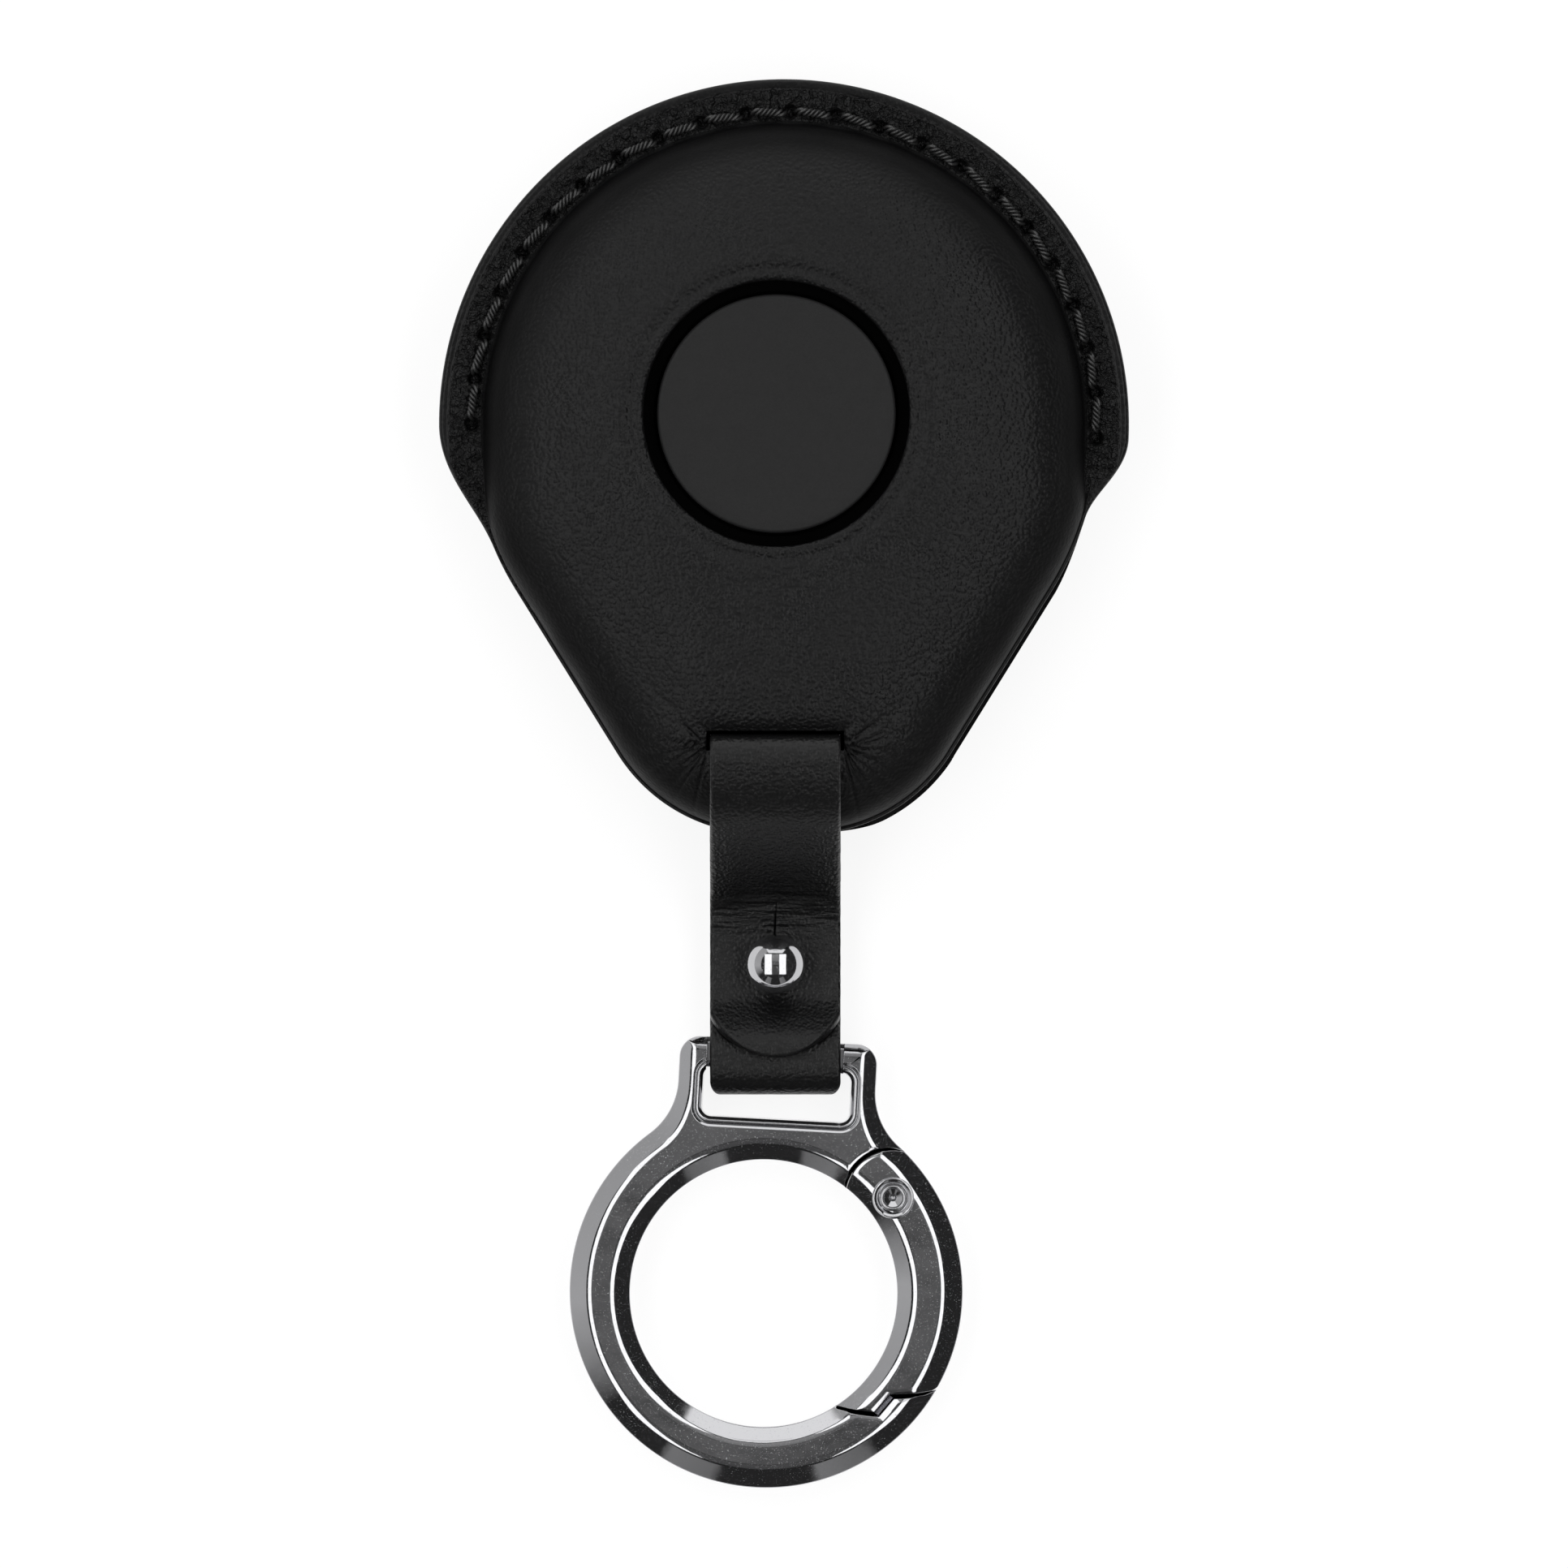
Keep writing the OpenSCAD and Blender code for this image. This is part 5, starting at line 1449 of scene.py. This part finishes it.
class Shader(Nodes):
    """A procedural material in the making, on the object's own coordinates."""

    def __init__(self, name):
        super().__init__(bpy.data.materials.new(name))
        self.place = self.node("ShaderNodeTexCoord").outputs["Object"]

    def noise(self, size, detail=4, roughness=0.5, place=None, output="Fac"):
        return self.node("ShaderNodeTexNoise", {
            "Vector": place or self.place, "Scale": 1 / size, "Detail": detail, "Roughness": roughness,
        }).outputs[output]

    def cells(self, size, feature="F1", place=None):
        sockets = {"Vector": place or self.place, "Scale": 1 / size}
        return self.node("ShaderNodeTexVoronoi", sockets, feature=feature).outputs["Distance"]

    def ramp(self, value, low, high, start=0.0, end=1.0):
        """Maps low..high to start..end, and clamps."""
        return self.node("ShaderNodeMapRange", {
            "Value": value, "From Min": low, "From Max": high, "To Min": start, "To Max": end,
        }, clamp=True).outputs["Result"]

    def blend(self, share, a, b):
        """Colour between a and b."""
        a, b = ((*c, 1) if isinstance(c, tuple) else c for c in (a, b))
        return self.node("ShaderNodeMix", {"Factor": share, "A": a, "B": b}, data_type="RGBA").outputs["Result"]

    def warped(self, size, amount):
        """The place, pushed about by noise."""
        push = self.noise(size, 2, output="Color")
        sockets = {0: push, 1: (amount, amount, amount), 2: self.place}
        return self.node("ShaderNodeVectorMath", sockets, operation="MULTIPLY_ADD").outputs["Vector"]

    def stretched(self, scale):
        """The place, with each of its three directions scaled."""
        return self.node("ShaderNodeMapping", {"Vector": self.place, "Scale": scale}).outputs["Vector"]

    def bump(self, height, distance, strength=1.0, normal=None):
        sockets = {"Height": height, "Distance": distance, "Strength": strength}
        if normal:
            sockets["Normal"] = normal
        return self.node("ShaderNodeBump", sockets).outputs["Normal"]

    def finish(self, **values):
        """Ends in a principled surface with these sockets, and gives the material."""
        sockets = {key.replace("_", " "): (*value, 1) if isinstance(value, tuple) else value
                   for key, value in values.items()}
        return self.close(self.node("ShaderNodeBsdfPrincipled", sockets).outputs["BSDF"])


def shell_leather(look):
    s = Shader("shell_leather_look")
    base = tuple(look.leather_colour)
    flange, rim, wall = s.attribute("flange"), s.attribute("rim"), s.attribute("wall")
    pebble = s.ramp(s.cells(0.33 * MM, "SMOOTH_F1", s.warped(0.7 * MM, 0.15 * MM)), 0.15, 0.65, 1, 0)
    fine = s.noise(0.13 * MM, 3)
    crack = s.ramp(s.cells(0.95 * MM, "DISTANCE_TO_EDGE", s.warped(0.7 * MM, 0.8 * MM)), 0, 0.16, 0, 1)
    small = s.ramp(s.cells(0.42 * MM, "DISTANCE_TO_EDGE", s.warped(0.5 * MM, 0.4 * MM)), 0, 0.2, 0, 1)
    crackle = s.add(s.times(crack, 0.9), s.times(small, 0.8))
    grain = s.add(s.times(pebble, 0.8), s.times(fine, 0.4))
    plain_grain = s.times(grain, s.ramp(wall, 0, 1, 1, 0.25))
    height = s.times(s.add(s.times(crackle, flange), plain_grain), s.ramp(rim, 0, 1, 1, 0.3))
    patchy = s.ramp(s.noise(6 * MM, 3), 0.35, 0.65, 0.9, 1.12)
    # Painted shade: the walls are painted darker than the rest of the leather; the edge-painted rim keeps the
    # plain colour
    skin = s.blend(rim, s.blend(wall, base, tint(base, 0.7)), base)
    # The flange's raised cells between its cracks are made lighter than the rest
    lighter_cells = s.blend(s.times(flange, s.ramp(crackle, 0.5, 1.7, 0, 0.8)), skin, tint(base, 1.3))
    return s.finish(
        Base_Color=lighter_cells,
        Roughness=s.times(patchy, s.ramp(wall, 0, 1, 0.3, 0.5)),
        Specular_IOR_Level=s.ramp(wall, 0, 1, 0.21, 0.05),
        Normal=s.bump(height, 0.085 * MM))


def strap_leather(look):
    s = Shader("strap_leather_look")
    base = tint(look.leather_colour, 0.8)
    pebble = s.ramp(s.cells(0.29 * MM, "SMOOTH_F1", s.warped(0.8 * MM, 0.15 * MM)), 0.15, 0.65, 1, 0)
    fine = s.noise(0.1 * MM, 3)
    speck = s.ramp(s.noise(0.2 * MM, 5, 0.7), 0.58, 0.72, 0, 1)
    height = s.add(s.times(pebble, 0.7), s.times(fine, 0.4))
    cut_edge = s.attribute("cut_edge")
    fold = s.noise(0.75 * MM, 3, 0.5, s.stretched((0.16, 1, 1)))
    crushed = s.add(height, s.times(s.times(fold, s.attribute("crush")), 8.0))
    skin = s.blend(s.times(speck, 0.5), base, tint(base, 1.7))
    return s.finish(
        Base_Color=s.blend(cut_edge, skin, s.blend(speck, tint(base, 1.5), tint(base, 4))),
        Roughness=s.ramp(fine, 0.3, 0.7, 0.28, 0.36),
        Specular_IOR_Level=s.ramp(cut_edge, 0, 1, 0.36, 0.08),
        Normal=s.bump(crushed, 0.055 * MM))


def thread_look(look):
    s = Shader("thread_look")
    base = tuple(look.thread_colour)
    fibre = s.noise(0.12 * MM, 5, 0.7)
    return s.finish(
        Base_Color=s.blend(fibre, tint(base, 0.6), tint(base, 1.5)),
        Roughness=0.34,
        Specular_IOR_Level=0.7,
        Normal=s.bump(fibre, 0.02 * MM, 0.8))


def lining_cloth(look):
    s = Shader("lining_cloth_look")
    sockets = {"Vector": s.place, "Scale": 1 / (1.6 * MM), "Distortion": 0.6}
    threads = [s.node("ShaderNodeTexWave", sockets, bands_direction=way).outputs["Fac"] for way in "XY"]
    height = s.calc("MAXIMUM", *threads)
    return s.finish(
        Base_Color=s.blend(height, (0.008, 0.008, 0.009), (0.02, 0.02, 0.022)),
        Roughness=0.9,
        Specular_IOR_Level=0.2,
        Normal=s.bump(height, 0.08 * MM, 0.7))


def gunmetal_plate(look):
    s = Shader("gunmetal_plate_look")
    base = tuple(look.metal_colour)
    edge = s.node("ShaderNodeBevel", {"Radius": 0.07 * MM}, samples=6).outputs["Normal"]
    waves = s.noise(2.6 * MM, 2, 0.4)
    pits = s.ramp(s.noise(0.13 * MM, 6, 0.75), 0.62, 0.74, 0, 1)
    smear = s.noise(1.4 * MM, 4, 0.6)
    slow = s.noise(13 * MM, 2, 0.4)
    polish = s.bump(waves, 0.05 * MM, 0.5, s.bump(slow, 0.5 * MM, 0.5, edge))
    return s.finish(
        # The pits are also painted darker, as painted shade in them
        Base_Color=s.blend(s.times(pits, 0.55), base, tint(base, 0.35)),
        Metallic=1.0,
        Roughness=s.ramp(smear, 0.3, 0.7, 0.04, 0.1),
        Normal=s.bump(s.calc("SUBTRACT", 1.0, pits), 0.012 * MM, 0.6, polish))


def steel(name, colour, roughness, size):
    s = Shader(name)
    brushed = s.noise(size, 4, 0.6, s.stretched((1, 14, 14)))
    return s.finish(
        Base_Color=s.blend(brushed, tint(colour, 0.8), colour),
        Metallic=1.0,
        Roughness=s.ramp(brushed, 0.3, 0.7, roughness, roughness + 0.15),
        Normal=s.bump(brushed, 0.02 * MM, 0.4))


def plastic(name, colour, roughness, size, level=0.3):
    s = Shader(name)
    grain = s.noise(size, 4, 0.6)
    cloud = s.noise(size * 12, 3)
    return s.finish(
        Base_Color=s.blend(cloud, tint(colour, 0.9), tint(colour, 1.12)),
        Roughness=s.ramp(grain, 0.3, 0.7, roughness - 0.05, roughness + 0.08),
        Specular_IOR_Level=level,
        Normal=s.bump(grain, 0.03 * MM, 0.7))


def board_laminate(look):
    s = Shader("board_laminate_look")
    tracks = s.ramp(s.cells(1.9 * MM, "DISTANCE_TO_EDGE"), 0.05, 0.09, 1, 0)
    pads = s.ramp(s.cells(2.6 * MM), 0.16, 0.2, 1, 0)
    green = s.blend(tracks, (0.01, 0.07, 0.03), (0.03, 0.16, 0.07))
    return s.finish(
        Base_Color=s.blend(pads, green, (0.55, 0.42, 0.2)),
        Roughness=0.35,
        Normal=s.bump(s.calc("MAXIMUM", tracks, pads), 0.03 * MM, 0.8))


LOOKS = {
    "shell_leather": shell_leather,
    "strap_leather": strap_leather,
    "thread": thread_look,
    "lining_cloth": lining_cloth,
    "gunmetal_plate": gunmetal_plate,
    "board_laminate": board_laminate,
    "spring_steel": lambda look: steel("spring_steel_look", (0.4, 0.4, 0.42), 0.28, 0.3 * MM),
    "cell_steel": lambda look: steel("cell_steel_look", (0.55, 0.55, 0.55), 0.22, 0.5 * MM),
    # The fob's black plastic, made darker than such plastic is, as painted shade in the gap round the disc, the
    # only place where it shows
    "fob_plastic": lambda look: plastic("fob_plastic_look", (0.0012, 0.0012, 0.0012), 0.8, 0.2 * MM, 0.02),
    "button_plastic": lambda look: plastic("button_plastic_look", (0.0125, 0.0125, 0.0127), 0.6, 0.16 * MM),
    "pad_rubber": lambda look: plastic("pad_rubber_look", (0.2, 0.2, 0.2), 0.7, 0.3 * MM),
    "switch_plastic": lambda look: plastic("switch_plastic_look", (0.03, 0.03, 0.03), 0.3, 0.25 * MM, 0.5),
}


def look_of(context, slot):
    """The finish of a slot, made once."""
    found = bpy.data.materials.get(slot + "_look")
    return found or LOOKS[slot](context.scene.fob_finish)


# CAD nodes that keep their shape, with the finish of each
KEPT = {
    "front_lining": "lining_cloth",
    "back_lining": "lining_cloth",
    "fob_upper_case": "fob_plastic",
    "fob_lower_case": "fob_plastic",
    "fob_switch": "switch_plastic",
    "fob_board": "board_laminate",
    "fob_cell": "cell_steel",
    "stud_screw": "gunmetal_plate",
    "gate_spring": "spring_steel",
}


# Stage

# Lit patches of a dome, by their place in the ball stud's reflection: across at the near and the far end,
# up, and strength
CARDS = {
    "strip_left": ((-0.36, -0.13), (-0.36, -0.13), (-0.35, 0.34), 1.95),
    "strip_right": ((0.13, 0.36), (0.13, 0.36), (-0.35, 0.34), 1.95),
    "softbox_far": ((-0.25, 0.25), (-0.28, 0.28), (0.38, 0.47), 1.3),
}
# The grey gap between the strips: how far up, and the strength there
CEILING = ((-0.36, 0.09), (-0.1, 0.11), (-0.045, 0.06), (-0.012, 0.17), (0.014, 0.2), (0.05, 0.1), (0.12, 0.28),
           (0.34, 0.4))
DOME = 3.0
DARK = 0.03
# A band of light low round the studio: direction in degrees, and its strength there
HORIZON = ((55, DARK), (58, 1.3), (119, 1.3), (123, 0.5), (150, 0.55), (185, 0.62), (204, 0.36), (217, DARK),
           (237, DARK), (240, 0.3), (253, 0.24), (256, DARK), (283, DARK), (286, 0.3), (300, 0.22), (303, DARK))
HORIZON_IN, HORIZON_OUT = 0.485, 0.706


def dome_point(a, b, radius):
    """A point of the dome from its place in a mirror ball seen from above."""
    s2 = min(a * a + b * b, 0.4999)
    k = 2 * math.sqrt(1 - s2)
    return (a * k * radius, b * k * radius, (1 - 2 * s2) * radius)


def glow(name, strength=None):
    """A lit surface, of one strength or of the strength kept in its mesh."""
    n = Nodes(bpy.data.materials.new(name))
    if strength is None:
        strength = n.attribute("strength")
    light = n.node("ShaderNodeEmission", {"Strength": strength})
    return n.close(light.outputs["Emission"])


def stage_object(name, verts, faces, material):
    obj = bare_object(name, verts, faces)
    obj.data.materials.append(material)
    return obj


def lit_object(name, verts, faces, strengths):
    """A part of the lit dome, which the camera doesn't see, of one strength or of one for each vertex."""
    even = isinstance(strengths, float)
    obj = stage_object(name, verts, faces, glow(name, strengths if even else None))
    if not even:
        store(obj, "strength", strengths)
    obj.visible_camera = False


def build_cards():
    cells = 10
    for name, (near, far, up, strength) in CARDS.items():
        verts = []
        for j in range(cells + 1):
            v = j / cells
            left, right = mix(near[0], far[0], v), mix(near[1], far[1], v)
            across = [mix(left, right, i / cells) for i in range(cells + 1)]
            verts += [dome_point(a, mix(up[0], up[1], v), DOME) for a in across]
        lit_object(name, verts, grid_faces(cells + 1, cells + 1), strength)
    verts = [dome_point(a, b, DOME) for b, _ in CEILING for a in (-0.13, -0.065, 0, 0.065, 0.13)]
    lit_object("ceiling", verts, grid_faces(len(CEILING), 5), np.repeat([v for _, v in CEILING], 5))
    first = HORIZON[0][0]
    around = np.interp((np.arange(360) - first) % 360, [a - first for a, _ in HORIZON], [v for _, v in HORIZON])
    turns = [unit_at(math.radians(angle)) for angle in range(360)]
    verts = [dome_point(*(r * u), DOME * 1.02) for r in (HORIZON_IN, HORIZON_OUT) for u in turns]
    lit_object("horizon", verts, grid_faces(2, 360, close_cols=True), np.tile(around, 2))
    rings, steps = 12, 48
    turns = [unit_at(2 * math.pi * i / steps) for i in range(steps)]
    verts = [dome_point(0, 0, DOME * 1.05)]
    for j in range(1, rings + 1):
        verts += [dome_point(*(math.sqrt(0.5) * j / rings * u), DOME * 1.05) for u in turns]
    faces = grid_faces(rings, steps, close_cols=True, start=1)
    faces += [(0, 1 + i, 1 + (i + 1) % steps) for i in range(steps)]
    lit_object("dark_dome", verts, faces, DARK)


def build_floor():
    """A pale floor that comes out white, and keeps the object's shadow."""
    n = Nodes(bpy.data.materials.new("floor"))
    plain_floor = n.node("ShaderNodeBsdfDiffuse", {"Color": (0.22, 0.22, 0.22, 1)})
    light = n.node("ShaderNodeEmission", {"Strength": n.times(n.seen(), 0.86)})
    both = n.node("ShaderNodeAddShader", {0: plain_floor.outputs["BSDF"], 1: light.outputs["Emission"]})
    steps, radius = 96, 8.0
    verts = [(*(radius * unit_at(2 * math.pi * i / steps)), -0.05 * MM) for i in range(steps)]
    stage_object("floor", verts, [tuple(range(steps))], n.close(both.outputs["Shader"]))


def build_world():
    n = Nodes(bpy.data.worlds.new("studio"))
    dim, white = (n.node("ShaderNodeBackground", {"Color": (level, level, level, 1)}).outputs["Background"]
                  for level in (0.4, 1))
    choose = n.node("ShaderNodeMixShader", {0: n.seen(), 1: dim, 2: white})
    bpy.context.scene.world = n.close(choose.outputs["Shader"], "ShaderNodeOutputWorld")


def build_camera():
    """Straight above, as in the photograph, with a long lens."""
    pixels, pixels_per_mm = 1932, 13.4
    data = bpy.data.cameras.new("camera")
    data.lens = 1000
    data.sensor_width = 36
    data.dof.use_dof = False
    data.clip_end = 100
    camera = bpy.data.objects.new("camera", data)
    bpy.context.scene.collection.objects.link(camera)
    camera.location = (0, 0, PARTING + pixels / pixels_per_mm * MM * data.lens / data.sensor_width)
    bpy.context.scene.camera = camera


# Operators

class FobOperator:
    """What the operators share."""

    bl_options = {"REGISTER", "UNDO"}


class FOB_OT_front_shell(FobOperator, bpy.types.Operator):
    """Builds the front shell, with its flange, its lip and its strap slot"""
    bl_idname = "fob.front_shell"
    bl_label = "Front Shell"

    def execute(self, context):
        build_front_shell(context.scene.fob_case, look_of(context, "shell_leather"))
        return {"FINISHED"}


class FOB_OT_back_shell(FobOperator, bpy.types.Operator):
    """Builds the back shell, whose edge shows past the front one"""
    bl_idname = "fob.back_shell"
    bl_label = "Back Shell"

    def execute(self, context):
        build_back_shell(context.scene.fob_case, look_of(context, "shell_leather"))
        return {"FINISHED"}


class FOB_OT_seam(FobOperator, bpy.types.Operator):
    """Sews the stitches on both faces of the flange"""
    bl_idname = "fob.seam"
    bl_label = "Seam"

    def execute(self, context):
        build_seam(context.scene.fob_case, look_of(context, "thread"))
        return {"FINISHED"}


class FOB_OT_strap(FobOperator, bpy.types.Operator):
    """Lays the strap from its tab through the case and round the ring's bar"""
    bl_idname = "fob.strap"
    bl_label = "Strap"

    def execute(self, context):
        scene = context.scene
        build_strap(scene.fob_case, scene.fob_strap, look_of(context, "strap_leather"))
        return {"FINISHED"}


class FOB_OT_stud(FobOperator, bpy.types.Operator):
    """Turns the ball stud"""
    bl_idname = "fob.stud"
    bl_label = "Ball Stud"

    def execute(self, context):
        build_stud(look_of(context, "gunmetal_plate"))
        return {"FINISHED"}


class FOB_OT_button(FobOperator, bpy.types.Operator):
    """Turns the bare disc in the window, and the rubber pad under it"""
    bl_idname = "fob.button"
    bl_label = "Disc Button"

    def execute(self, context):
        build_button(look_of(context, "button_plastic"))
        build_pad(look_of(context, "pad_rubber"))
        return {"FINISHED"}


class FOB_OT_ring(FobOperator, bpy.types.Operator):
    """Builds the ring's frame with its loop and bar"""
    bl_idname = "fob.ring"
    bl_label = "Ring Frame"

    def execute(self, context):
        build_ring_frame(context.scene.fob_ring, look_of(context, "gunmetal_plate"))
        return {"FINISHED"}


class FOB_OT_gate(FobOperator, bpy.types.Operator):
    """Builds the gate and its rivet"""
    bl_idname = "fob.gate"
    bl_label = "Gate and Rivet"

    def execute(self, context):
        metal = look_of(context, "gunmetal_plate")
        build_gate(context.scene.fob_ring, metal)
        build_rivet(context.scene.fob_ring, metal)
        return {"FINISHED"}


class FOB_OT_finishes(FobOperator, bpy.types.Operator):
    """Gives the frame's own pieces their finishes"""
    bl_idname = "fob.finishes"
    bl_label = "Finishes"

    def execute(self, context):
        for node, slot in KEPT.items():
            bpy.data.objects[node].material_slots[0].material = look_of(context, slot)
        return {"FINISHED"}


class FOB_OT_stage(FobOperator, bpy.types.Operator):
    """Sets the floor, the lights and the camera"""
    bl_idname = "fob.stage"
    bl_label = "Stage"

    def execute(self, context):
        for name in ("Cube", "Light", "Camera"):
            default = bpy.data.objects.get(name)
            if default:
                bpy.data.objects.remove(default)
        build_floor()
        build_cards()
        build_world()
        build_camera()
        context.scene.view_settings.view_transform = "Standard"
        return {"FINISHED"}


STEPS = (FOB_OT_front_shell, FOB_OT_back_shell, FOB_OT_seam, FOB_OT_strap, FOB_OT_stud, FOB_OT_button,
         FOB_OT_ring, FOB_OT_gate, FOB_OT_finishes, FOB_OT_stage)


class FOB_PT_cover(bpy.types.Panel):
    """Lists the steps of the build and their settings"""
    bl_idname = "FOB_PT_cover"
    bl_label = "Key Fob Cover"
    bl_space_type = "VIEW_3D"
    bl_region_type = "UI"
    bl_category = "Fob Cover"

    def draw(self, context):
        for step in STEPS:
            self.layout.operator(step.bl_idname)
        for name, group in SETTINGS.items():
            box = self.layout.box()
            box.label(text=group.__name__)
            for prop in group.__annotations__:
                box.prop(getattr(context.scene, name), prop)


CLASSES = (*SETTINGS.values(), *STEPS, FOB_PT_cover)


def register():
    for item in CLASSES:
        bpy.utils.register_class(item)
    for name, group in SETTINGS.items():
        setattr(bpy.types.Scene, name, bpy.props.PointerProperty(type=group))


def unregister():
    for name in SETTINGS:
        delattr(bpy.types.Scene, name)
    for item in reversed(CLASSES):
        bpy.utils.unregister_class(item)


def main():
    """Runs every step in order."""
    register()
    for step in STEPS:
        group, name = step.bl_idname.split(".")
        getattr(getattr(bpy.ops, group), name)()


if __name__ == "__main__":
    main()
